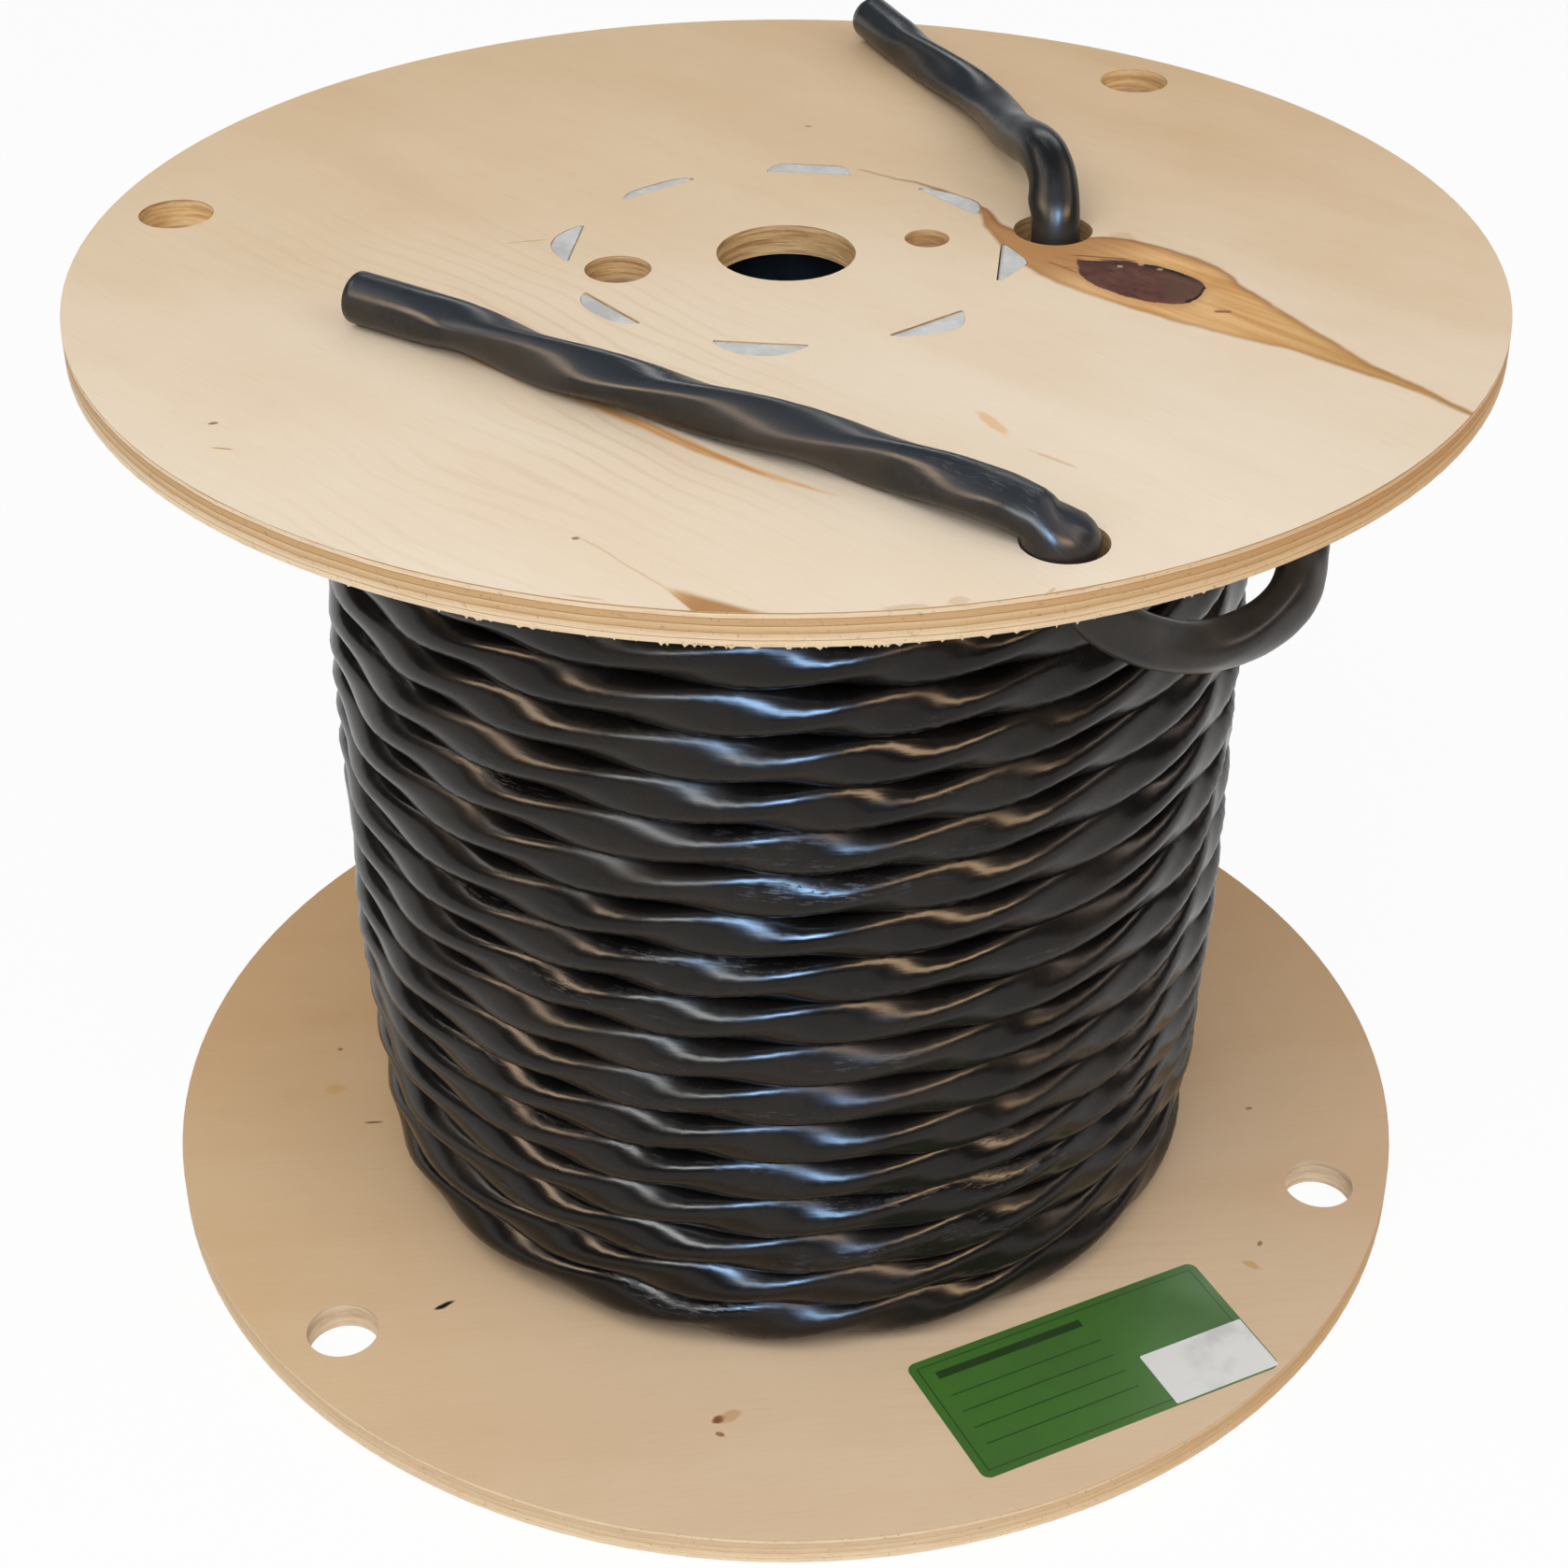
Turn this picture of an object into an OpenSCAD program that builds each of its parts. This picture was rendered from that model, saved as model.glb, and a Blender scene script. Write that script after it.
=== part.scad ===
// Plywood cable reel with a clinched sheet-steel drum, wound full of three-conductor building cable.
// Origin: centre of the face that the reel stands on. +Z runs along the reel's axis.

/* [Flanges] */
// Diameter of each plywood flange
flange_d = 406; // [390:1:450]
// Thickness of the plywood
flange_t = 9; // [8:0.5:12]
// Clear width between the two flanges
traverse = 293; // [280:1:310]
// Diameter of the arbor hole
arbor_d = 40; // [30:0.5:60]
// Diameter of the larger drive hole
drive_hole_d = 19; // [12:0.5:22]
// Distance of the larger drive hole from the axis
drive_hole_r = 49; // [44:0.5:50]
// Diameter of the smaller drive hole
pin_hole_d = 13; // [8:0.5:18]
// Distance of the smaller drive hole from the axis
pin_hole_r = 42; // [38:0.5:48]
// Direction of the smaller drive hole, the larger one lies opposite
drive_angle = 14; // [0:1:20]
// Diameter of the hole that the cable's first end comes out of
start_hole_d = 23; // [20:0.5:26]
// Distance of that hole from the axis
start_hole_r = 79.5; // [78:0.5:90]
// Direction of that hole
start_hole_angle = 12; // [8:1:16]
// Diameter of the holes near the rim
rim_hole_d = 22; // [21:0.5:26]
// Distance of the rim holes' centres in from the rim
rim_hole_in = 21; // [19:0.5:23]
// Number of rim holes in each flange
rim_holes = 3; // [2:1:6]
// Direction of the rim hole in the top flange that the cable comes out of
top_rim_angle = -69; // [-70:1:-68]
// Direction of the first rim hole in the bottom flange
bottom_rim_angle = -18; // [-30:1:0]

/* [Drum] */
// Outer diameter of the sheet-steel drum
drum_d = 127; // [120:1:134]
// Thickness of the drum's sheet
sheet_t = 0.8; // [0.6:0.1:1.2]
// Number of clinched tabs at each end of the drum
tabs = 8; // [6:1:10]
// Width of a tab
tab_w = 25; // [16:0.5:28]
// How far the widest bent tab reaches outward over the plywood
tab_reach = 8; // [6.5:0.5:10]
// Direction of the first tab
tab_angle = -6.5; // [-22:0.5:22]
// How far a tab's root runs down inside the drum's wall
tab_root = 6; // [3:0.5:12]
// Width of the drum's folded lock seam
seam_w = 9; // [6:0.5:14]
// Direction of the lock seam
seam_angle = 16; // [0:1:40]

/* [Cable] */
// Diameter of the cable over its sheath
cable_d = 14.5; // [14.5:0.1:14.8]
// Thickness of the sheath
sheath_t = 0.8; // [0.6:0.1:0.8]
// Diameter of an insulated conductor
conductor_d = 5.1; // [4.8:0.1:5.1]
// Diameter of a conductor's copper
copper_d = 3.6; // [2.5:0.1:4]
// Diameter of the bare ground wire
ground_d = 2.4; // [1.6:0.1:2.5]
// Thickness of the paper wrap under the sheath
paper_t = 0.2; // [0.1:0.05:0.2]
// Length of sheath at a cut end that shows its conductors inside
open_end = 24; // [15:1:26]
// How far the conductors stop short of the sheath's cut edge
end_inset = 0.6; // [0.2:0.1:2]

/* [Winding] */
// Outer diameter of the full winding at mid height
wind_d = 279; // [272:1:286]
// How much the winding's radius falls away towards the bottom flange
wind_tuck = 6.5; // [0:0.5:9]
// Height above the bottom flange below which the radius falls away
tuck_h = 130; // [80:1:180]
// Least clear space between turns that sets how many turns fit
turn_gap = 0.05; // [0.05:0.05:0.6]
// Direction in which the last turn leaves the winding
leave_angle = 20; // [16:1:24]

/* [Label] */
// Length of the paper label
label_l = 102; // [90:1:104]
// Width of the paper label
label_w = 49; // [40:1:50]
// Radius of the label's corners
label_corner = 3; // [1:0.5:6]
// Length of the white sticker on the label
sticker_l = 36; // [24:1:38]
// Width of the white sticker
sticker_w = 21; // [14:1:26]
// Radius of the sticker's corners
sticker_corner = 0.5; // [0.25:0.25:3]
// Thickness of the label and of the sticker
label_t = 0.2; // [0.1:0.05:0.4]
// Distance from the sticker to the label's right and front edges
sticker_edge = 0.5; // [0.5:0.5:4]
// Direction in which the label's length points
label_angle = 26; // [20:1:32]
// Distance of the label's centre in from the rim
label_in = 38; // [37:0.5:39]
// Direction of the label's centre from the axis
label_direction = -56; // [-58:1:-54]

/* [Hidden] */

$fn = 40;
wide_fn = 96;          // segments of the drum and the winding's core
small_fn = 24;         // segments of wires and label corners
seat = 0.3;            // clearance between rolled or wound pieces that lie on each other
rest_gap = 0.15;       // clearance under cable that lies on a flange
touch_gap = 0.05;      // clearance between wires and wraps inside the sheath
end_room = 0.4;        // extra height for the straight end of the winding, which goes on climbing
cut_over = 1;          // how far a cutting tool runs past the face that it cuts
loop_rings = 24;       // rings of the winding's tube in one turn
winding_sides = 6;     // sides of the winding's tube
free_sides = 8;        // sides of the free cable's tubes
core_steps = 5;        // steps of the winding core's profile

flange_top = flange_t + traverse;             // underside of the top flange
total_h = traverse + 2 * flange_t;            // face of the top flange
drum_r = drum_d / 2;
rim_hole_r = flange_d / 2 - rim_hole_in;
label_r = flange_d / 2 - label_in;
cable_r = cable_d / 2;
lay_z = cable_r + rest_gap;                   // height of a lying cable's centre above the top flange

// Tabs: flat strips on a chord of the drum, bent outward on the plywood's outer face.
chord_r = sqrt(pow(drum_r - sheet_t / 2, 2) - tab_w * tab_w / 4);
seam_t = 2 * sheet_t;                         // the lock seam's folds, pressed flat
tab_steps = 12;                               // straight stretches along a tab's edge

// Each tab in turn round the drum: how far it falls short of the widest one, where its tip lies from -1 to 1
// along the bend, and how blunt it is, from 1 for a triangle to 8 for a strip with square ends.
tab_forms = [[1, 0.1, 1.2], [2, -0.4, 2], [2, 0, 8], [5, 0, 4],
    [2, 0, 2], [3, 0, 3], [1, 0, 2.5], [1, 0.3, 2]];

function tab_edge(k, s) = let (form = tab_forms[k % len(tab_forms)], off = s - form[1])
    (tab_reach - form[0]) * (1 - pow(abs(off) / (1 - sign(off) * form[1]), form[2]));

// Winding: one helix that climbs from the bottom flange to the top one, clockwise seen from above.
bore_r = cable_r - sheath_t;
low_z = flange_t + cable_r + seat;
high_z = flange_top - cable_r - seat - end_room;
turns = floor((high_z - low_z) / (cable_d + turn_gap));
pitch = (high_z - low_z) / turns;
wind_r = wind_d / 2 - cable_r;
sag = wind_r * (1 - cos(180 / loop_rings));   // how far the tube's straight stretches cut inside its circle

function tuck_at(h) = wind_tuck * pow(max(0, 1 - h / tuck_h), 2);
function helix_r(z) = wind_r - tuck_at(z - flange_t);
function helix_point(turn) = let (z = low_z + pitch * turn, a = leave_angle + 360 * (turns - turn))
    [helix_r(z) * cos(a), helix_r(z) * sin(a), z];
function unit(v) = v / norm(v);

// Vector tools for tubes swept along points.
function tangent(p, i) = let (n = len(p) - 1) unit(p[min(i + 1, n)] - p[max(i - 1, 0)]);
function flat(v, t) = unit(v - (v * t) * t);
function normals(p, first, i = 0, done = []) =
    i == len(p) ? done
    : normals(p, first, i + 1, concat(done, [flat(i == 0 ? first : done[i - 1], tangent(p, i))]));
function ring_at(c, t, n, r, sides, turn = 0) = let (b = cross(t, n))
    [for (k = [0:sides - 1]) c + r * (cos(360 * k / sides + turn) * n + sin(360 * k / sides + turn) * b)];

// A closed skin over a list of rings, each joined to the next, with a fan of triangles at both ends.
module skin(rings) {
    sides = len(rings[0]);
    last = len(rings) - 1;
    points = [for (ring = rings) each ring];
    sleeve = [for (i = [0:last - 1]) for (k = [0:sides - 1])
        let (a = i * sides + k, b = i * sides + (k + 1) % sides)
        each [[a, b + sides, b], [a, a + sides, b + sides]]];
    start_cap = [for (k = [1:sides - 2]) [0, k, k + 1]];
    end_cap = [for (k = [1:sides - 2]) [last * sides, last * sides + k + 1, last * sides + k]];
    polyhedron(points, concat(sleeve, start_cap, end_cap), convexity = 10);
}

// ---- Flanges ----
module rim_hole_cutters(first_angle, z) {
    for (k = [0:rim_holes - 1])
        rotate([0, 0, first_angle + 360 * k / rim_holes])
            translate([rim_hole_r, 0, z - cut_over])
                cylinder(d = rim_hole_d, h = flange_t + 2 * cut_over);
}

module hole_cutter(d, r, angle, z) {
    rotate([0, 0, angle])
        translate([r, 0, z - cut_over])
            cylinder(d = d, h = flange_t + 2 * cut_over);
}

// Outline of bent tab k, from the bend at distance bend_r to its edge, which is grown by grow.
module tab_outline(k, bend_r, grow) {
    side = tab_w / 2 + grow;
    edge = [for (i = [0:tab_steps - 1]) let (s = (2 * i + 1) / tab_steps - 1)
        [chord_r + tab_edge(k, s) + grow, s * side]];
    polygon(concat([[bend_r, -tab_w / 2]], edge, [[bend_r, tab_w / 2]]));
}

// Slots that the tabs pass through, with a shallow seat where each tab is pressed flush into the wood.
module tab_cutters(inner_z, outer_z) {
    up = outer_z > inner_z ? 1 : -1;
    for (k = [0:tabs - 1])
        rotate([0, 0, tab_angle + 360 * k / tabs]) {
            translate([chord_r - sheet_t - seat, -tab_w / 2 - seat, min(inner_z, outer_z) - cut_over])
                cube([sheet_t + 2 * seat, tab_w + 2 * seat, flange_t + 2 * cut_over]);
            translate([0, 0, up > 0 ? outer_z - sheet_t : outer_z - cut_over])
                linear_extrude(sheet_t + cut_over)
                    tab_outline(k, chord_r - sheet_t / 2, seat);
        }
}

module flange(z, first_rim_angle, inner_z, outer_z) {
    difference() {
        translate([0, 0, z])
            cylinder(d = flange_d, h = flange_t, $fn = 144);
        translate([0, 0, z - cut_over])
            cylinder(d = arbor_d, h = flange_t + 2 * cut_over);
        hole_cutter(drive_hole_d, drive_hole_r, drive_angle + 180, z);
        hole_cutter(pin_hole_d, pin_hole_r, drive_angle, z);
        hole_cutter(start_hole_d, start_hole_r, start_hole_angle, z);
        rim_hole_cutters(first_rim_angle, z);
        tab_cutters(inner_z, outer_z);
    }
}

module bottom_flange() {
    color("burlywood")
        flange(0, bottom_rim_angle, flange_t, 0);
}

module top_flange() {
    color("blanchedalmond")
        flange(flange_top, top_rim_angle, flange_top, total_h);
}

// ---- Drum: rolled sheet, closed by a lock seam, with tabs clinched over both flanges ----
module tab(k, inner_z, outer_z) {
    up = outer_z > inner_z;
    root_z = up ? inner_z - tab_root : outer_z;
    translate([chord_r - sheet_t, -tab_w / 2, root_z])
        cube([sheet_t, tab_w, flange_t + tab_root]);
    translate([0, 0, up ? outer_z - sheet_t : outer_z])
        linear_extrude(sheet_t)
            tab_outline(k, chord_r - sheet_t, 0);
}

module drum() {
    color("silver") {
        difference() {
            translate([0, 0, flange_t])
                cylinder(r = drum_r, h = traverse, $fn = wide_fn);
            translate([0, 0, flange_t - cut_over])
                cylinder(r = drum_r - sheet_t, h = traverse + 2 * cut_over, $fn = wide_fn);
        }
        rotate([0, 0, seam_angle])
            translate([drum_r - sheet_t / 2 - seam_t, -seam_w / 2, flange_t])
                cube([seam_t, seam_w, traverse]);
        for (k = [0:tabs - 1])
            rotate([0, 0, tab_angle + 360 * k / tabs]) {
                tab(k, flange_top, total_h);
                tab(k, flange_t, 0);
            }
    }
}

// ---- Winding ----
// The inner layers, plain, with the profile that the outer layer lies on.
module winding_core() {
    low = flange_t;
    under_winding = cable_r + sag + seat;
    profile = concat(
        [[drum_r + seat, low]],
        [for (i = [0:core_steps]) let (h = tuck_h * i / core_steps)
            [helix_r(low + h) - under_winding, low + h]],
        [[wind_r - under_winding, flange_top], [drum_r + seat, flange_top]]);
    color("dimgray")
        rotate_extrude($fn = wide_fn)
            polygon(profile);
}

last_ring = turns * loop_rings;
helix = [for (i = [0:last_ring]) helix_point(i / loop_rings)];
helix_start = helix[0];
start_way = unit(helix[0] - helix[1]);
helix_end = helix[last_ring];
end_way = unit(helix[last_ring] - helix[last_ring - 1]);
wind_line = concat([helix_start + start_way * cable_d], helix, [helix_end + end_way * cable_d]);
wind_rings = [for (i = [0:len(wind_line) - 1])
    let (p = wind_line[i], t = tangent(wind_line, i), out = flat([p[0], p[1], 0], t))
    ring_at(p, t, out, cable_r, winding_sides)];
self_gap = min([for (i = [1:last_ring + 1 - loop_rings])
    for (a = wind_rings[i]) for (b = wind_rings[i + loop_rings]) norm(a - b)]);
echo(winding_turns = turns, pitch = pitch, least_gap_between_turns = self_gap);

module cable_winding() {
    color("black")
        skin(wind_rings);
}

// ---- The two free ends of the cable, with heights above the top flange's face ----
// The last turn swings clear of the winding, dips, rises through a rim hole and lies on the top flange.
run_on = 16;                                  // how far the last turn runs on before it swings outward
leave_point = helix_end + end_way * cable_d;
outer_points = [[141, 0, -17], [142.5, -25, -17.5], [142, -50, -19], [140, -75, -23], [136.5, -97, -28.5],
    [132.5, -115, -33.5], [129, -129, -36], [123.5, -137.5, -38.5], [115, -145.5, -40],
    [105.5, -152.5, -39.5], [96.5, -159.5, -36], [88.5, -165, -31], [81.5, -169, -25.5],
    [75.5, -171, -20], [70.6, -171.2, -14],
    [67.3, -170.8, -8.8], [65, -170.2, -4.4], [63, -169.5, 0], [60.8, -168.4, 3.8], [57.6, -166.6, 7.2],
    [53.2, -163.8, 9], [47.5, -159.8, 9], [35.5, -151, 7.8], [13.5, -136, lay_z], [-9.5, -121, lay_z],
    [-33.5, -106, lay_z], [-58, -90, lay_z], [-85, -68, lay_z], [-115.5, -47.5, lay_z]];

// The first end comes up out of the start hole, bends over and lies on the top flange, towards the back.
inner_points = [[78.6, 16.5, -flange_t], [78.6, 16.5, -4], [78.6, 17, 1], [78.6, 19.5, 8.5],
    [78, 24.5, 15.4], [76.4, 32, 19], [74.3, 41.5, 19], [71.4, 54, 15.4], [68.2, 72, 10.4], [65, 92, 8],
    [59.5, 111, lay_z], [52, 128, lay_z], [43, 148, lay_z], [36, 165, lay_z], [29.5, 182, lay_z]];

function above_top(p) = [for (q = p) q + [0, 0, total_h]];
outer_route = concat([leave_point, leave_point + end_way * run_on], above_top(outer_points));
inner_route = above_top(inner_points);

function end_point(p) = p[len(p) - 1];
function end_dir(p) = unit(p[len(p) - 1] - p[len(p) - 2]);

// A tube along a line, solid but for its last stretch, which is open for the conductors.
module free_cable(line, first_side) {
    last = len(line) - 1;
    way = end_dir(line);
    corner = 180 / free_sides;
    side = normals(line, first_side);
    outer = [for (i = [0:last])
        ring_at(line[i], tangent(line, i), side[i], cable_r, free_sides, corner)];
    lip = ring_at(line[last], way, side[last], bore_r, free_sides, corner);
    inmost = ring_at(line[last] - way * open_end, way, side[last], bore_r, free_sides, corner);
    skin(concat(outer, [lip, inmost]));
}

module outer_cable_end() {
    color("black")
        free_cable(outer_route, [0, 0, 1]);
}

module inner_cable_end() {
    color("black")
        free_cable(inner_route, [1, 0, 0]);
}

// ---- What shows at both cut ends ----
core_len = open_end - end_inset - seat;                        // length of a conductor inside the sheath
triangle_r = conductor_d / sqrt(3) + touch_gap;                // conductors lie together round the axis
paper_r = bore_r * cos(180 / free_sides) - 2 * touch_gap;      // clear of the sheath's flats
ground_r = paper_r - paper_t - ground_d / 2 - touch_gap;       // ground wire between two conductors

// Places children at the closed bottom of each cut end, along the cable's axis.
module at_cut_ends() {
    for (route = [outer_route, inner_route]) {
        way = end_dir(route);
        heading = atan2(way[1], way[0]);
        lift = acos(way[2]);
        translate(end_point(route) - way * (open_end - seat / 2))
            rotate([0, lift, heading])
                children();
    }
}

// One conductor's insulation, at 60, 180 or 300 degrees round the axis, with the ground wire at 0.
module insulation(index) {
    at_cut_ends()
        rotate([0, 0, 60 + 120 * index])
            translate([triangle_r, 0, 0])
                difference() {
                    cylinder(d = conductor_d, h = core_len, $fn = small_fn);
                    translate([0, 0, -cut_over])
                        cylinder(d = copper_d, h = core_len + 2 * cut_over, $fn = small_fn);
                }
}

module paper_wraps() {
    color("tan")
        at_cut_ends()
            difference() {
                cylinder(r = paper_r, h = core_len);
                translate([0, 0, -cut_over])
                    cylinder(r = paper_r - paper_t, h = core_len + 2 * cut_over);
            }
}

module black_insulation() {
    color("black")
        insulation(0);
}

module white_insulation() {
    color("white")
        insulation(1);
}

module red_insulation() {
    color("red")
        insulation(2);
}

module stranded_copper() {
    color("orange")
        at_cut_ends()
            for (k = [0:2])
                rotate([0, 0, 60 + 120 * k])
                    translate([triangle_r, 0, 0])
                        cylinder(d = copper_d - 2 * touch_gap, h = core_len, $fn = small_fn);
}

module ground_wires() {
    color("orange")
        at_cut_ends()
            translate([ground_r, 0, 0])
                cylinder(d = ground_d, h = core_len, $fn = small_fn);
}

// ---- Label on the bottom flange ----
module at_label() {
    translate([label_r * cos(label_direction), label_r * sin(label_direction), 0])
        rotate([0, 0, label_angle])
            children();
}

module rounded_sheet(l, w, corner, z) {
    translate([0, 0, z])
        linear_extrude(label_t) {
            square([l - 2 * corner, w], center = true);
            square([l, w - 2 * corner], center = true);
            for (x = [-1, 1])
                for (y = [-1, 1])
                    translate([x * (l / 2 - corner), y * (w / 2 - corner)])
                        circle(r = corner, $fn = small_fn);
        }
}

module label() {
    color("forestgreen")
        at_label()
            rounded_sheet(label_l, label_w, label_corner, flange_t);
}

// The sticker lies on the label's right front corner.
module label_sticker() {
    color("white")
        at_label()
            translate([(label_l - sticker_l) / 2 - sticker_edge, (sticker_w - label_w) / 2 + sticker_edge, 0])
                rounded_sheet(sticker_l, sticker_w, sticker_corner, flange_t + label_t);
}

bottom_flange();
top_flange();
drum();
winding_core();
cable_winding();
outer_cable_end();
inner_cable_end();
paper_wraps();
black_insulation();
white_insulation();
red_insulation();
stranded_copper();
ground_wires();
label();
label_sticker();
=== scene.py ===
"""Looks of the wire spool: plywood flanges, a clinched steel drum and its winding of lobed black cable."""
import math
import random

import bpy
from mathutils import Matrix, Vector, noise


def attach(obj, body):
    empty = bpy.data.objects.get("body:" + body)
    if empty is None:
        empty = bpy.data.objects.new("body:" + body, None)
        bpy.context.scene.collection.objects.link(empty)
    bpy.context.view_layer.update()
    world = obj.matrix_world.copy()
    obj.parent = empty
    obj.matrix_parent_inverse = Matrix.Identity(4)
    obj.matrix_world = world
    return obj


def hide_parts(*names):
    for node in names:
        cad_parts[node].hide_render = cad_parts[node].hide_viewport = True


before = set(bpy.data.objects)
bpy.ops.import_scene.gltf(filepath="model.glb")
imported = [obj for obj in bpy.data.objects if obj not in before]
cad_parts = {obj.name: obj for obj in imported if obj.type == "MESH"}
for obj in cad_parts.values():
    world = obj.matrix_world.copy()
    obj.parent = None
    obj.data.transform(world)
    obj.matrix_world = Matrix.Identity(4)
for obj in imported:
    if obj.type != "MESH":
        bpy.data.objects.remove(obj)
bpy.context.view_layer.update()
scene = bpy.context.scene
MM = 0.001
TAU = 2 * math.pi

# Sizes that the frame was made with, in millimetres and degrees.
FLANGE_T, TRAVERSE, TOTAL_H = 9, 293, 311
FLANGE_TOP = FLANGE_T + TRAVERSE
DRUM_R, SHEET_T, TABS, TAB_W, TAB_ANGLE = 63.5, 0.8, 8, 25, -6.5
TAB_REACH = 8
# Each tab's outline: how much shorter than TAB_REACH it is, where its tip lies across it, and how blunt it is.
TAB_FORMS = [(1, 0.1, 1.2), (2, -0.4, 2), (2, 0, 8), (5, 0, 4), (2, 0, 2), (3, 0, 3), (1, 0, 2.5), (1, 0.3, 2)]
CHORD_R = math.sqrt((DRUM_R - SHEET_T / 2) ** 2 - TAB_W ** 2 / 4)
CABLE_D, SHEATH_T, OPEN_END, END_INSET = 14.5, 0.8, 24, 0.6
CABLE_R = CABLE_D / 2
WIND_R, WIND_TUCK, TUCK_H, LEAVE_ANGLE, TURNS = 132.25, 6.5, 130, 20, 19
LOW_Z, HIGH_Z = FLANGE_T + CABLE_R + 0.3, FLANGE_TOP - CABLE_R - 0.7
LAY_Z = CABLE_R + 0.15
CONDUCTOR_D = 5.1
CONDUCTOR_PLACE_R = CONDUCTOR_D / math.sqrt(3) + 0.05
RIM_HOLE_AT, RIM_HOLE_ANGLE = 182, -69
LABEL_AT, LABEL_ANGLE, LABEL_TURN = 165, -56, 26


# ---- Small helpers ----
def new_object(name, verts, faces, smooth=True):
    """A mesh object at the origin, from points in millimetres."""
    mesh = bpy.data.meshes.new(name)
    mesh.from_pydata([Vector(v) * MM for v in verts], [], faces)
    mesh.validate()
    if smooth:
        mesh.polygons.foreach_set("use_smooth", [True] * len(mesh.polygons))
    obj = bpy.data.objects.new(name, mesh)
    scene.collection.objects.link(obj)
    return obj


def hold(obj, replaces=()):
    """Lets a piece ride on the spool's one body and the solids it stands for."""
    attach(obj, "root")
    if replaces:
        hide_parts(*replaces)
    return obj


def heading(degrees):
    """Cosine and sine of an angle."""
    return math.cos(math.radians(degrees)), math.sin(math.radians(degrees))


def polar(radius, angle, z=0):
    """A point at a radius and an angle, in radians, around the spool's axis."""
    return Vector((radius * math.cos(angle), radius * math.sin(angle), z))


def catmull(points, steps):
    """A smooth line through points."""
    pts = [Vector(p) for p in points]
    out = []
    for i in range(len(pts) - 1):
        a, b, c, d = pts[max(i - 1, 0)], pts[i], pts[i + 1], pts[min(i + 2, len(pts) - 1)]
        for s in range(steps):
            u = s / steps
            out.append(0.5 * (2 * b + (c - a) * u + (2 * a - 5 * b + 4 * c - d) * u * u
                              + (3 * b - a - 3 * c + d) * u ** 3))
    return out + [pts[-1]]


def lengths_along(line):
    """The length of a line up to each of its points."""
    lengths = [0]
    for a, b in zip(line, line[1:]):
        lengths.append(lengths[-1] + (b - a).length)
    return lengths


def resample(line, step):
    """The same line with points a steady distance apart."""
    lengths = lengths_along(line)
    count = max(2, round(lengths[-1] / step))
    out, k = [], 0
    for i in range(count + 1):
        want = lengths[-1] * i / count
        while k < len(line) - 2 and lengths[k + 1] < want:
            k += 1
        span = lengths[k + 1] - lengths[k]
        out.append(line[k].lerp(line[k + 1], 0 if span == 0 else (want - lengths[k]) / span))
    return out, lengths[-1]


def smoothstep(x):
    x = min(max(x, 0), 1)
    return x * x * (3 - 2 * x)


def tangent(line, i):
    return (line[min(i + 1, len(line) - 1)] - line[max(i - 1, 0)]).normalized()


def axes_at(t, out):
    """Tangent, outward and sideways directions, square to each other."""
    out = (out - out.dot(t) * t).normalized()
    return t, out, t.cross(out)


# ---- Camera ----
camera_data = bpy.data.cameras.new("camera")
camera = bpy.data.objects.new("camera", camera_data)
scene.collection.objects.link(camera)
camera.location = Vector((-0.6, -747.3, 632.3)) * MM
camera.rotation_euler = (math.radians(58.61), 0, 0)
camera_data.lens = 64.61
camera_data.sensor_width = 36
camera_data.shift_y = -0.0828
camera_data.clip_start = 0.01
scene.camera = camera


# ---- Cable: three conductors and a ground wire twisted together under a thin sheath ----
LOBES_PER_TURN = 17.2  # lobes of the twisted cable in one turn of the winding
TWIST = -TAU / (6 * math.pi * WIND_R / LOBES_PER_TURN)  # radians of twist per millimetre
SIDES = 30
# The sheath's outline in shares of its nominal radius: three lobes and a low bump over the ground wire.
LOBE_MEAN, LOBE_WAVE, LOBE_CREST, GROUND_BUMP, GROUND_SPREAD = 0.876, 0.112, 0.01, 0.03, 0.4


def lobed(angle, depth):
    """Radius of the sheath over its nominal radius: three lobes, with the ground wire in one valley."""
    from_ground = (angle - math.pi / 3 + math.pi) % TAU - math.pi
    bump = GROUND_BUMP * math.exp(-(from_ground / GROUND_SPREAD) ** 2)
    shape = LOBE_MEAN + LOBE_WAVE * math.cos(3 * angle) + LOBE_CREST * math.cos(6 * angle) + bump
    return 1 + depth * (shape - 1)


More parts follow.
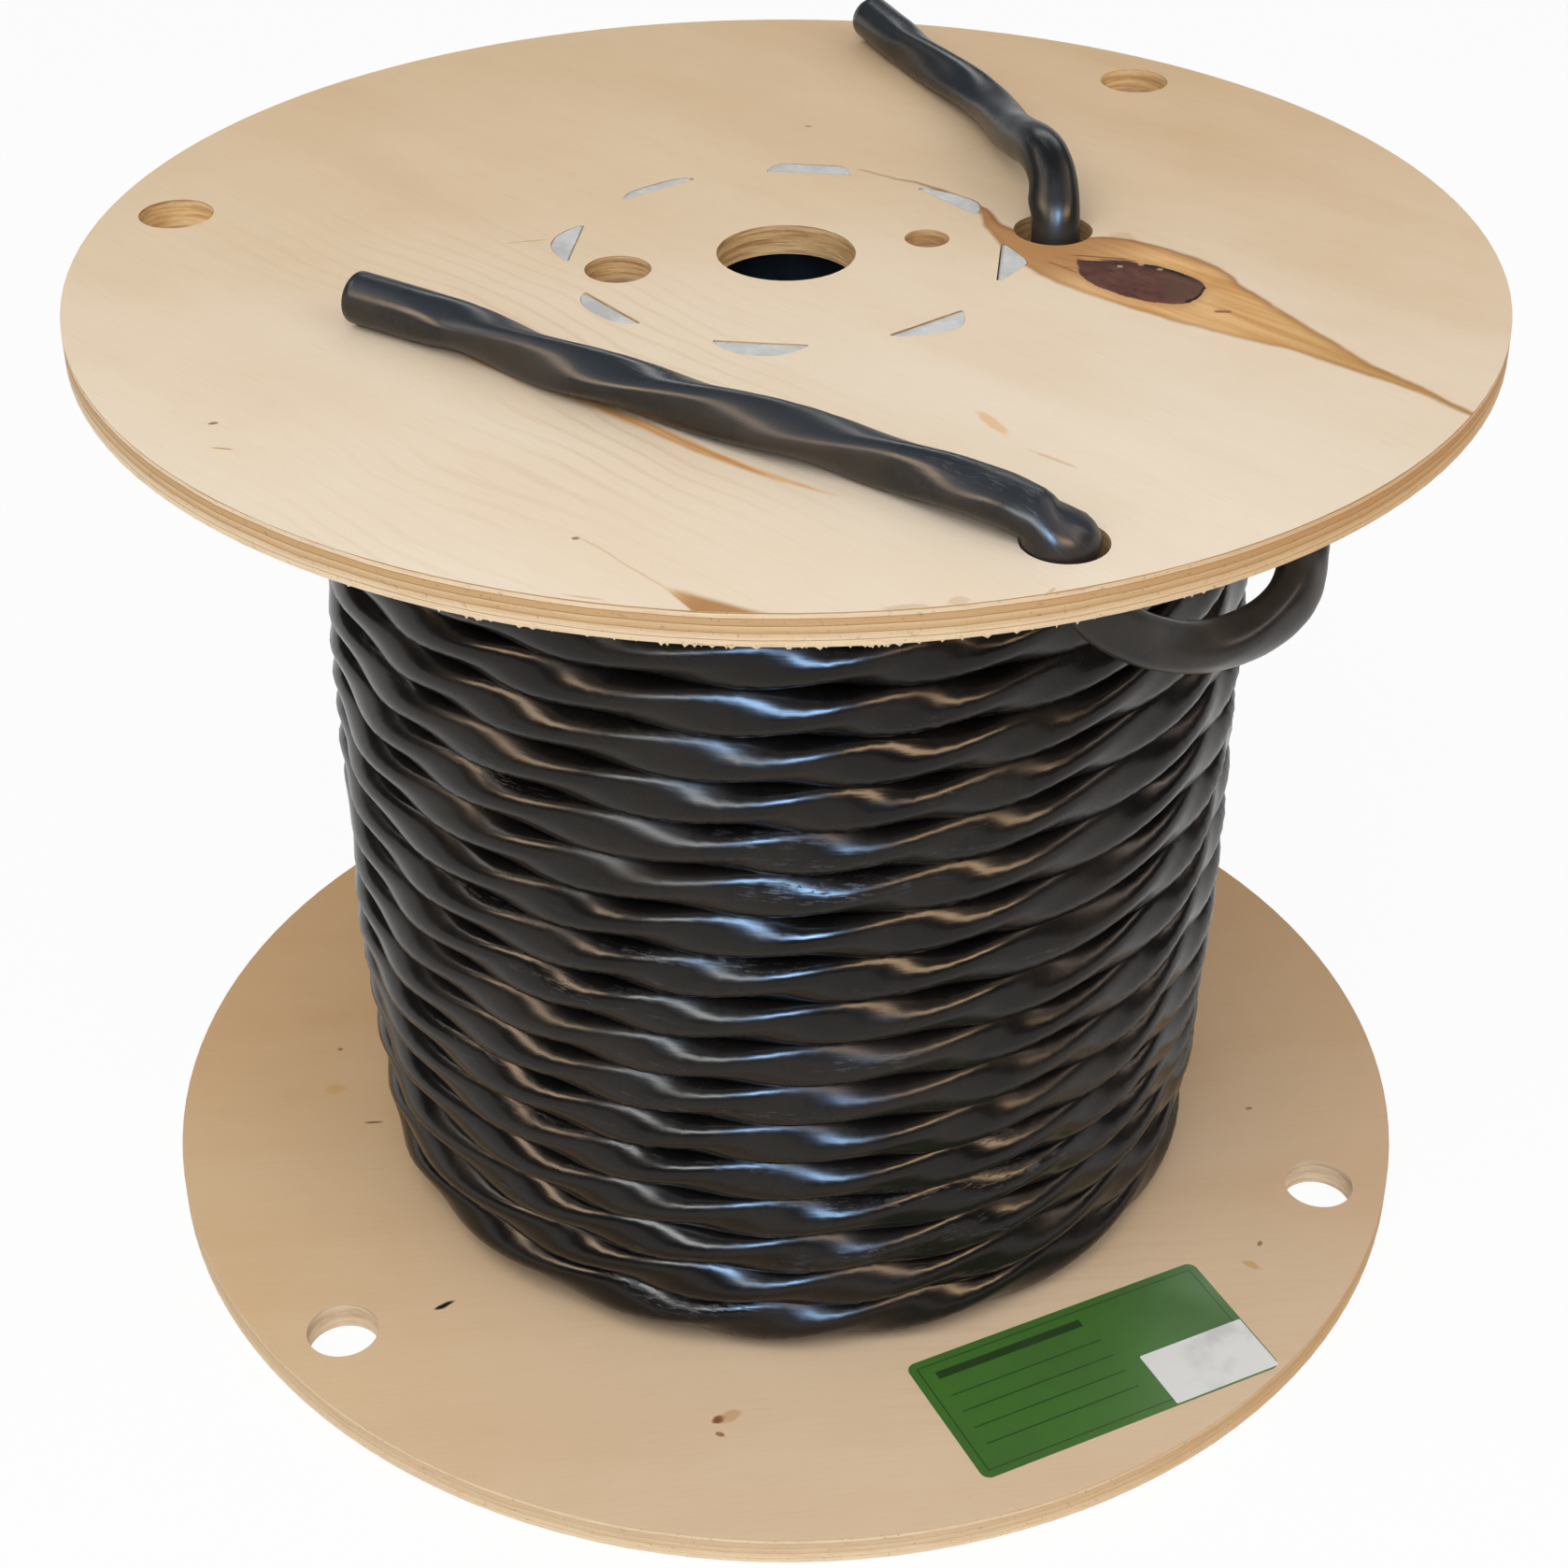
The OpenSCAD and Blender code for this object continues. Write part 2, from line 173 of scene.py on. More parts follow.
def tube(name, line, axes, turn, depth, stretch, open_far=False):
    """A cable along a line. turn, depth and stretch give, at each point, the twist, how lobed the
    sheath is and how much wider it is sideways."""
    verts, faces, uvs = [], [], []
    along = lengths_along(line)

    def ring(i, centre, radius, lobes):
        _, out, side = axes[i]
        start = len(verts)
        for k in range(SIDES):
            a = TAU * k / SIDES
            r = radius * lobed(a - turn[i], lobes)
            verts.append(centre + r * (math.cos(a) * out + stretch[i] * math.sin(a) * side))
        return start

    rings = [(ring(i, p, CABLE_R, depth[i]), along[i]) for i, p in enumerate(line)]
    if open_far:
        # The cut end: the sheath's rounded lip, and its bore as far back as the conductors show.
        last, tip, way, bore = len(line) - 1, line[-1], axes[-1][0], CABLE_R - SHEATH_T
        for ahead, radius, further in ((0.15, CABLE_R - 0.25, 0.3), (0.1, bore + 0.15, 0.9), (-0.3, bore, 1.2),
                                       (-OPEN_END, bore, OPEN_END)):
            rings.append((ring(last, tip + ahead * way, radius, 0), along[-1] + further))
    for (a, u0), (b, u1) in zip(rings, rings[1:]):
        for k in range(SIDES):
            n = (k + 1) % SIDES
            faces.append((a + k, b + k, b + n, a + n))
            v0, v1 = k / SIDES, (k + 1) / SIDES
            uvs.append(((u0, v0), (u1, v0), (u1, v1), (u0, v1)))
    for (start, u), order in ((rings[0], range(SIDES)), (rings[-1], reversed(range(SIDES)))):
        faces.append(tuple(start + k for k in order))
        uvs.append(((u, 0),) * SIDES)
    obj = new_object(name, verts, faces)
    layer = obj.data.uv_layers.new(name="along_around")
    flat = [c for face in uvs for (u, v) in face for c in (u * MM, v * TAU * CABLE_R * MM)]
    layer.data.foreach_set("uv", flat)
    return obj


# ---- Winding: the outer layer, one helix whose lowest turns tuck in ----
def helix_point(turn, shift=0):
    z = LOW_Z + (HIGH_Z - LOW_Z) * turn / TURNS
    tuck = WIND_TUCK * max(0, 1 - (z - FLANGE_T) / TUCK_H) ** 2
    return polar(WIND_R - tuck + shift, math.radians(LEAVE_ANGLE + 360 * (TURNS - turn)), z)


RINGS = 150  # rings of the cable in one turn
NEAR_END = 24  # the helix's direction at an end is taken over one 24th of a turn
START_DIVE, DIVE_TURN = 9, 0.08  # the first turn comes up from the layer below, between two turns of it
TIGHTER, WANDER, RISE = 0.3, 0.9, 1.2  # how far the turns lie in, and stray sideways and in height
SWELL, SWELL_LENGTH = 0.135, 120  # the last of the cable is wider, where no turn presses on it


def ring_noise(angle, size, height):
    """Noise that joins up after a full turn."""
    return noise.noise(polar(size, angle, height))


first, last = helix_point(0), helix_point(TURNS)
start_way = (first - helix_point(1 / NEAR_END)).normalized()
end_way = (last - helix_point((NEAR_END * TURNS - 1) / NEAR_END)).normalized()
leave_point = last + end_way * CABLE_D
under = Vector((first.x, first.y, 0)).normalized() * START_DIVE
wind_line = [first + start_way * CABLE_D - under, first + start_way * CABLE_D / 2 - under]
for i in range(RINGS * TURNS + 1):
    turn = i / RINGS
    p = helix_point(turn)
    ends = smoothstep(turn * 3) * smoothstep((TURNS - turn) * 3)
    wave = ring_noise(TAU * turn, 3, turn * 0.45)
    rise = ring_noise(TAU * turn, 2, 9 + turn * 0.25)
    radial = Vector((p.x, p.y, 0)).normalized()
    dive = START_DIVE * smoothstep(1 - turn / DIVE_TURN)
    stray = (-TIGHTER + WANDER * wave) * ends
    wind_line.append(p + radial * (stray - dive) + Vector((0, 0, RISE * rise)) * ends)
wind_line += [last + end_way * CABLE_D / 2, leave_point]


def wound_axes(line):
    """Directions along a line that winds round the spool's axis."""
    return [axes_at(tangent(line, i), Vector((p.x, p.y, 0)).normalized()) for i, p in enumerate(line)]


wind_axes = wound_axes(wind_line)
wind_length = lengths_along(wind_line)


def phase(i):
    """Twist of the cable at a ring of the winding: a little uneven, but much alike in turns that touch."""
    angle = TAU * i / RINGS
    shared = ring_noise(angle, 1.6, 0.22 * angle / TAU)
    own = noise.noise(Vector((wind_length[i] / 70, 3.1, 0.7)))
    return TWIST * wind_length[i] + 0.55 * shared + 0.16 * own


wind_turn = [phase(i) for i in range(len(wind_line))]
wind_stretch = [1 + SWELL * smoothstep((wind_length[-1] - s) / SWELL_LENGTH) for s in wind_length]
winding = tube("cable_turns", wind_line, wind_axes, wind_turn, [1] * len(wind_line), wind_stretch)
hold(winding, ["cable_winding"])

# ---- The two free ends. Their heights are over the top flange's upper face. ----
OUTER_POINTS = [
    (141, 0, -17), (142.5, -25, -17.5), (142, -50, -19), (140, -75, -23), (136.5, -97, -28.5),
    (132.5, -115, -33.5), (129, -129, -36), (123.5, -137.5, -38.5), (115, -145.5, -40),
    (105.5, -152.5, -39.5), (96.5, -159.5, -36), (88.5, -165, -31), (81.5, -169, -25.5), (75.5, -171, -20),
    (70.6, -171.2, -14), (67.3, -170.8, -8.8), (65, -170.2, -4.4), (63, -169.5, 0), (60.8, -168.4, 3.8),
    (57.6, -166.6, 7.2), (53.2, -163.8, 9), (47.5, -159.8, 9), (35.5, -151, 7.8), (13.5, -136, LAY_Z),
    (-9.5, -121, LAY_Z), (-33.5, -106, LAY_Z), (-58, -90, LAY_Z), (-85, -68, LAY_Z), (-115.5, -47.5, LAY_Z)]
INNER_POINTS = [
    (78.6, 16.5, -FLANGE_T), (78.6, 16.5, -4), (78.6, 17, 1), (78.6, 19.5, 8.5), (78, 24.5, 15.4),
    (76.4, 32, 19), (74.3, 41.5, 19), (71.4, 54, 15.4), (68.2, 72, 10.4), (65, 92, 8), (59.5, 111, LAY_Z),
    (52, 128, LAY_Z), (43, 148, LAY_Z), (36, 165, LAY_Z), (29.5, 182, LAY_Z)]


def above_top(points):
    return [Vector(p) + Vector((0, 0, TOTAL_H)) for p in points]


def frames(line, first_out):
    """Directions along a line, turning as little as possible."""
    out = Vector(first_out)
    result = []
    for i in range(len(line)):
        result.append(axes_at(tangent(line, i), out))
        out = result[-1][1]
    return result


def free_end(name, route, first_out, first_turn, lobes_from, slack, wind_in, calm, form):
    """A free end of the cable: lobed along its length and round at its cut end. slack is how much of the
    winding's twist is left in it, its lobes are flatter near calm, and form moves its surface points where
    it meets its hole."""
    line, length = resample(catmull(route, 8), 2)
    axes = frames(line, first_out)
    step = length / (len(line) - 1)
    turn, depth = [], []
    for i in range(len(line)):
        s = i * step
        turn.append(first_turn + slack * TWIST * s + wind_in * smoothstep(s / 150))
        bend = axes[max(i - 5, 0)][0].angle(axes[min(i + 5, len(line) - 1)][0])
        lying = 1 - 0.15 * smoothstep((s - (length - 230)) / 30)
        full = lying * (1 - 0.5 * smoothstep(bend))
        full *= 1 - 0.85 * math.exp(-((s - calm) / 31) ** 2)
        before_cut = 1 - smoothstep((s - (length - 40)) / 20)
        after_start = smoothstep(s / lobes_from) if lobes_from else 1
        depth.append(full * before_cut * after_start)
    obj = tube(name, line, axes, turn, depth, [1] * len(line), open_far=True)
    for v in obj.data.vertices:
        v.co = form(v.co / MM) * MM
    return obj, line, length


HOLE_X, HOLE_Y = (RIM_HOLE_AT * k for k in heading(RIM_HOLE_ANGLE))
BRIM_R, BRIM_LESS = 10.6, 1.8  # how wide the sheath bulges in the rim hole, and how much less at right
LIES_LOWER, LIES_NEARER = 1.5, 1.8  # how the outer end departs from its line just before the hole
KNEE_LOWER = 3.4  # how much lower the inner end's fold is than its line


def into_rim_hole(p):
    """The outer end lies flat up to the rim hole, and bulges there until it fills the hole's mouth."""
    up = p.z - TOTAL_H
    far = math.hypot(p.x - HOLE_X, p.y - HOLE_Y)
    if up > 0 and far < 60:
        low = LIES_LOWER * smoothstep((up - 1) / 4) * smoothstep((34 - far) / 20) * smoothstep((far - 3) / 8)
        near = LIES_NEARER * smoothstep(up / 7) * smoothstep((52 - far) / 30)
        p = p + Vector((-0.53 * near, -0.85 * near, -low))
        up, far = p.z - TOTAL_H, math.hypot(p.x - HOLE_X, p.y - HOLE_Y)
    if far < 15 and -8.5 < up < 14:
        right = max(0, (0.85 * (p.x - HOLE_X) - 0.53 * (p.y - HOLE_Y)) / max(far, 0.1))
        if up > 0:
            full = (1 - right) * smoothstep(1 - up / 12) + right * (1 - up / 14)
        else:
            full = smoothstep(1 + up / 8.5)
        new = far + max(0, BRIM_R - BRIM_LESS * right - far) * full
        x, y = ((a - b) * new / max(far, 0.1) for a, b in ((p.x, HOLE_X), (p.y, HOLE_Y)))
        p = Vector((HOLE_X + x, HOLE_Y + y, p.z))
    return p


def out_of_start_hole(p):
    """The inner end folds over at its knee, and the sheath bulges under the fold."""
    near = (p - Vector((71.4, 21, TOTAL_H + 8.5))).length
    p = p + Vector((-1.1, -0.3, 0)) * math.exp(-(near / 4.6) ** 2)
    low = KNEE_LOWER * smoothstep((p.z - TOTAL_H - 2) / 16) * smoothstep((84 - p.y) / 45)
    return p - Vector((0, 0, low))


OUTER_TURN = 0.79  # extra twist, behind the flange, that sets how the lobes lie on the top
outer_route = [leave_point, leave_point + end_way * 16] + above_top(OUTER_POINTS)
outer_end, outer_line, outer_length = free_end(
    "outer_cable", outer_route, wind_axes[-1][1], wind_turn[-1], lobes_from=0, slack=0.866, wind_in=OUTER_TURN,
    calm=-99, form=into_rim_hole)
inner_end, inner_line, inner_length = free_end(
    "inner_cable", above_top(INNER_POINTS), (1, 0, 0), 1.56, lobes_from=20, slack=0.502, wind_in=0,
    calm=54, form=out_of_start_hole)
hold(outer_end, ["outer_cable_end"])
hold(inner_end, ["inner_cable_end"])


# ---- Strands of the copper conductors at a cut end ----
STRAND_R, STRAND_SIDES, STRAND_LAY = 0.57, 10, 0.05  # STRAND_LAY is their twist, in radians per millimetre


def strand_bundle(name, line):
    """Seven strands to each conductor, standing a little inside the cut end of a cable that follows line."""
    verts, faces = [], []
    length = OPEN_END - END_INSET - 0.3
    way = (line[-1] - line[-2]).normalized()
    base = line[-1] - way * (OPEN_END - 0.15)
    azimuth, lift = math.atan2(way.y, way.x), math.acos(max(-1, min(1, way.z)))
    turn_to = Matrix.Rotation(azimuth, 3, "Z") @ Matrix.Rotation(lift, 3, "Y")
    for k in range(3):
        centre = CONDUCTOR_PLACE_R * polar(1, math.radians(60 + 120 * k))
        for strand in range(7):
            off = Vector() if strand == 6 else 2.04 * STRAND_R * polar(1, math.pi / 3 * strand)
            start = len(verts)
            for z, r in ((0, STRAND_R), (length - 0.12, STRAND_R), (length, STRAND_R - 0.12)):
                middle = centre + Matrix.Rotation(STRAND_LAY * z, 3, "Z") @ off + Vector((0, 0, z))
                for j in range(STRAND_SIDES):
                    verts.append(base + turn_to @ (middle + r * polar(1, TAU * j / STRAND_SIDES)))
            for ring in (start, start + STRAND_SIDES):
                for j in range(STRAND_SIDES):
                    n = (j + 1) % STRAND_SIDES
                    faces.append((ring + j, ring + n, ring + STRAND_SIDES + n, ring + STRAND_SIDES + j))
            faces.append(tuple(start + 2 * STRAND_SIDES + j for j in range(STRAND_SIDES)))
            faces.append(tuple(start + j for j in reversed(range(STRAND_SIDES))))
    return hold(new_object(name, verts, faces), ["stranded_copper"])


outer_strands = strand_bundle("outer_strands", outer_line)
inner_strands = strand_bundle("inner_strands", inner_line)

[tuple(p * MM) for p in outer_line]
[tuple(p * MM) for p in inner_line]


# ---- The layer of turns under the outer one, wound the other way ----
CORE_RINGS, CORE_SHIFT, CORE_R, CORE_WIDER = 72, -12.4, 120, 1.1


def inner_layers():
    line = [helix_point(i / CORE_RINGS, CORE_SHIFT) for i in range(CORE_RINGS * TURNS + 1)]
    line = [Vector((p.x, -p.y, p.z)) for p in line]
    turn = [TWIST * i * TAU * CORE_R / CORE_RINGS for i in range(len(line))]
    return tube("inner_turns", line, wound_axes(line), turn, [1] * len(line), [CORE_WIDER] * len(line))


core = hold(inner_layers(), ["winding_core"])


# ---- Drum: rolled sheet with a lock seam and bent tabs, pressed into both flanges ----
SEAM_ANGLE, SEAM_IN = 16, 0.9
# The lock seam's section: how far round it is, and how much further in.
SEAM_FORM = ((-5, 0), (-4.5, 0.9), (0, 1.1), (4.5, 0.9), (5, 0))
# A tab's foot, from inside the slot to where it bends over the wood: beyond the chord, and over the face.
TAB_FOOT = ((-0.85, -TAB_REACH - 6), (-0.85, -1.3), (-0.72, -0.45), (-0.35, -0.12), (0.1, -0.02))
TAB_POINTS, DRUM_POINTS = 24, 96


def tab_edge(k, s):
    """How far tab k reaches over the wood, from -1 to 1 across it."""
    short, tip, blunt = TAB_FORMS[k]
    off = s - tip
    return (TAB_REACH - short) * (1 - (abs(off) / (1 - ((off > 0) - (off < 0)) * tip)) ** blunt)


def drum():
    rng = random.Random(7)
    verts, faces = [], []

    def grid(rows):
        start, width = len(verts), len(rows[0])
        for row in rows:
            verts.extend(row)
        for i in range(len(rows) - 1):
            for j in range(width - 1):
                a = start + i * width + j
                faces.append((a, a + 1, a + width + 1, a + width))

    seam = math.radians(SEAM_ANGLE)
    ends = (FLANGE_T, FLANGE_TOP)
    grid([[polar(DRUM_R, TAU * k / DRUM_POINTS, z) for k in range(DRUM_POINTS + 1)] for z in ends])
    grid([[polar(DRUM_R - SEAM_IN - d, seam + s / DRUM_R, z) for s, d in SEAM_FORM] for z in ends])
    for end in (1, -1):
        face = TOTAL_H if end > 0 else 0
        for k in range(TABS):
            ca, sa = heading(TAB_ANGLE + 360 * k / TABS)
            rng.uniform(-0.5, 0.5)  # not used, but drawn so that the numbers after it stay the same
            dent, tear = rng.uniform(0.4, 1), rng.uniform(0, 20)
            rows = []
            for j in range(TAB_POINTS + 1):
                s = 2 * j / TAB_POINTS - 1
                y = (TAB_W / 2 + 0.1) * s
                ragged = 0.28 * noise.noise(Vector((tear + 3 * s, k, end)))
                ragged += 0.1 * noise.noise(Vector((tear + 11 * s, k, 3)))
                reach = max(tab_edge(k, 0.985 * s) + 0.22 + ragged, 0.3)
                row = [(CHORD_R + x, up) for x, up in TAB_FOOT]
                for u in (0.25, 0.5, 0.75, 0.93, 1):
                    wave = dent * noise.noise(Vector((tear + 2.2 * s, 2 * u, k + 0.5)))
                    drop = 0.08 if u == 1 else 0
                    row.append((CHORD_R + 0.1 + (reach - 0.1) * u, -0.06 + min(0.12 * wave, 0.06) - drop))
                rows.append([Vector((x * ca - y * sa, x * sa + y * ca, face + end * z)) for x, z in row])
            if end < 0:
                rows.reverse()
            grid(rows)
    obj = new_object("steel_drum", verts, faces)
    thick = obj.modifiers.new("sheet", "SOLIDIFY")
    thick.thickness, thick.offset = 0.6 * MM, -1
    return obj


steel_drum = hold(drum(), ["drum"])


# ---- Materials ----
def srgb(r, g, b):
    """A colour given as it shows on a screen, from 0 to 255."""
    shares = (r / 255, g / 255, b / 255)
    return tuple(c / 12.92 if c <= 0.04045 else ((c + 0.055) / 1.055) ** 2.4 for c in shares)


class Nodes:
    """A short way to write the nodes of a material or of the world."""

    def __init__(self, owner, out):
        owner.use_nodes = True
        self.nodes, self.links = owner.node_tree.nodes, owner.node_tree.links
        self.nodes.clear()
        self.out = self.node(out)

    def put(self, socket, value):
        if isinstance(value, bpy.types.NodeSocket):
            self.links.new(value, socket)
        elif isinstance(value, tuple) and socket.type == "RGBA":
            socket.default_value = (*value, 1)
        else:
            socket.default_value = value

    def node(self, kind, *values, **settings):
        """A new node with its settings and the values of its first inputs."""
        n = self.nodes.new("ShaderNode" + kind)
        for key, value in settings.items():
            setattr(n, key, value)
        for socket, value in zip(n.inputs, values):
            self.put(socket, value)
        return n

    def show(self, kind, *values):
        """Makes a new node the surface of what is drawn."""
        n = self.node(kind, *values)
        self.put(self.out.inputs["Surface"], n.outputs[0])
        return n

    def coords(self, kind="Object"):
        return self.node("TexCoord").outputs[kind]

    def normal(self):
        return self.node("NewGeometry").outputs["Normal"]

    def split(self, vector):
        n = self.node("SeparateXYZ", vector)
        return n.outputs[0], n.outputs[1], n.outputs[2]

    def join(self, x, y, z):
        return self.node("CombineXYZ", x, y, z).outputs[0]

    def math(self, op, *values):
        return self.node("Math", *values, operation=op).outputs[0]

    def add(self, a, *others):
        for b in others:
            a = self.math("ADD", a, b)
        return a

    def mul(self, a, *others):
        for b in others:
            a = self.math("MULTIPLY", a, b)
        return a

    def sub(self, a, b):
        return self.math("SUBTRACT", a, b)

    def most(self, a, b):
        return self.math("MAXIMUM", a, b)

    def far(self, x, y):
        """The distance of a point x, y from the origin."""
        return self.math("SQRT", self.add(self.mul(x, x), self.mul(y, y)))

    def turned(self, x, y, c, s):
        """x and y along and across a direction of cosine c and sine s."""
        return self.add(self.mul(x, c), self.mul(y, s)), self.sub(self.mul(y, c), self.mul(x, s))

    def range(self, value, low, high, to_low=0, to_high=1):
        values = (value, low, high, to_low, to_high)
        return self.node("MapRange", *values, interpolation_type="SMOOTHSTEP").outputs[0]

    def both(self, value, low, low_end, high, high_end):
        """1 where value is between two soft limits."""
        return self.mul(self.range(value, low, low_end), self.range(value, high, high_end))

    def noise(self, vector, scale, detail=2, roughness=0.5):
        n = self.node("TexNoise", vector)
        for key, value in (("Scale", scale), ("Detail", detail), ("Roughness", roughness)):
            n.inputs[key].default_value = value
        return n.outputs["Fac"]

    def grain(self, u, per_u, v, per_v, third, detail=2, roughness=0.5):
        """Noise with per_u cells to a metre along u and per_v along v."""
        return self.noise(self.join(self.mul(u, per_u), self.mul(v, per_v), third), 1, detail, roughness)

    def ramp(self, value, stops):
        n = self.node("ValToRGB", value)
        while len(n.color_ramp.elements) < len(stops):
            n.color_ramp.elements.new(0.5)
        for element, (place, colour) in zip(n.color_ramp.elements, stops):
            element.position = place
            element.color = (*colour, 1)
        return n.outputs[0]

    def curve(self, value, points):
        n = self.node("FloatCurve")
        line = n.mapping.curves[0]
        while len(line.points) < len(points):
            line.points.new(0.5, 0.5)
        for p, (x, y) in zip(line.points, points):
            p.location = (x, y)
        n.mapping.update()
        self.put(n.inputs["Value"], value)
        return n.outputs[0]

    def mix(self, factor, a, b, mode="MIX"):
        n = self.node("Mix", factor, data_type="RGBA", blend_type=mode)
        self.put(n.inputs[6], a)
        self.put(n.inputs[7], b)
        return n.outputs[2]

    def tint(self, factor, colour, by):
        return self.mix(factor, colour, self.mix(1, colour, by, "MULTIPLY"))

    def layers(self, colour, *rows):
        """Colours laid one over the other, each a factor, its strength and a screen colour."""
        for factor, strength, shade in rows:
            colour = self.mix(factor if strength == 1 else self.mul(factor, strength), colour, srgb(*shade))
        return colour

    def bump(self, height, distance, strength):
        n = self.node("Bump")
        for key, value in (("Height", height), ("Distance", distance), ("Strength", strength)):
            self.put(n.inputs[key], value)
        return n.outputs[0]


class Shader(Nodes):
    """A node material."""

    def __init__(self, name):
        self.material = bpy.data.materials.new(name)
        super().__init__(self.material, "OutputMaterial")
        self.bsdf = self.show("BsdfPrincipled")

    def made(self, **values):
        """The material, with these values of its surface."""
        for name, value in values.items():
            self.put(self.bsdf.inputs[name.replace("_", " ")], value)
        return self.material


def dress(node, material):
    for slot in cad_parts[node].material_slots:
        slot.material = material


WOOD_GLOSS, SHEATH_GLOSS, METAL_GLOSS = 0.14, 0.27, 0.1  # specular levels
GLUE, PALE, MID, WARM = srgb(156, 112, 66), srgb(242, 218, 184), srgb(228, 196, 154), srgb(208, 168, 120)
# Where the plies and the thin glue lines between them begin, up through the flange.
PLIES = [
    (0, PALE), (0.165, PALE), (0.18, GLUE), (0.2, PALE), (0.375, MID), (0.39, GLUE), (0.41, WARM),
    (0.59, MID), (0.61, GLUE), (0.64, WARM), (0.8, WARM), (0.82, GLUE), (0.84, PALE), (0.955, PALE),
    (0.98, GLUE), (1, WARM)]
IN_RIM, OUT_OF_RIM = 0.2, 0.2015  # metres from the axis, where the walls of holes give way to the rim


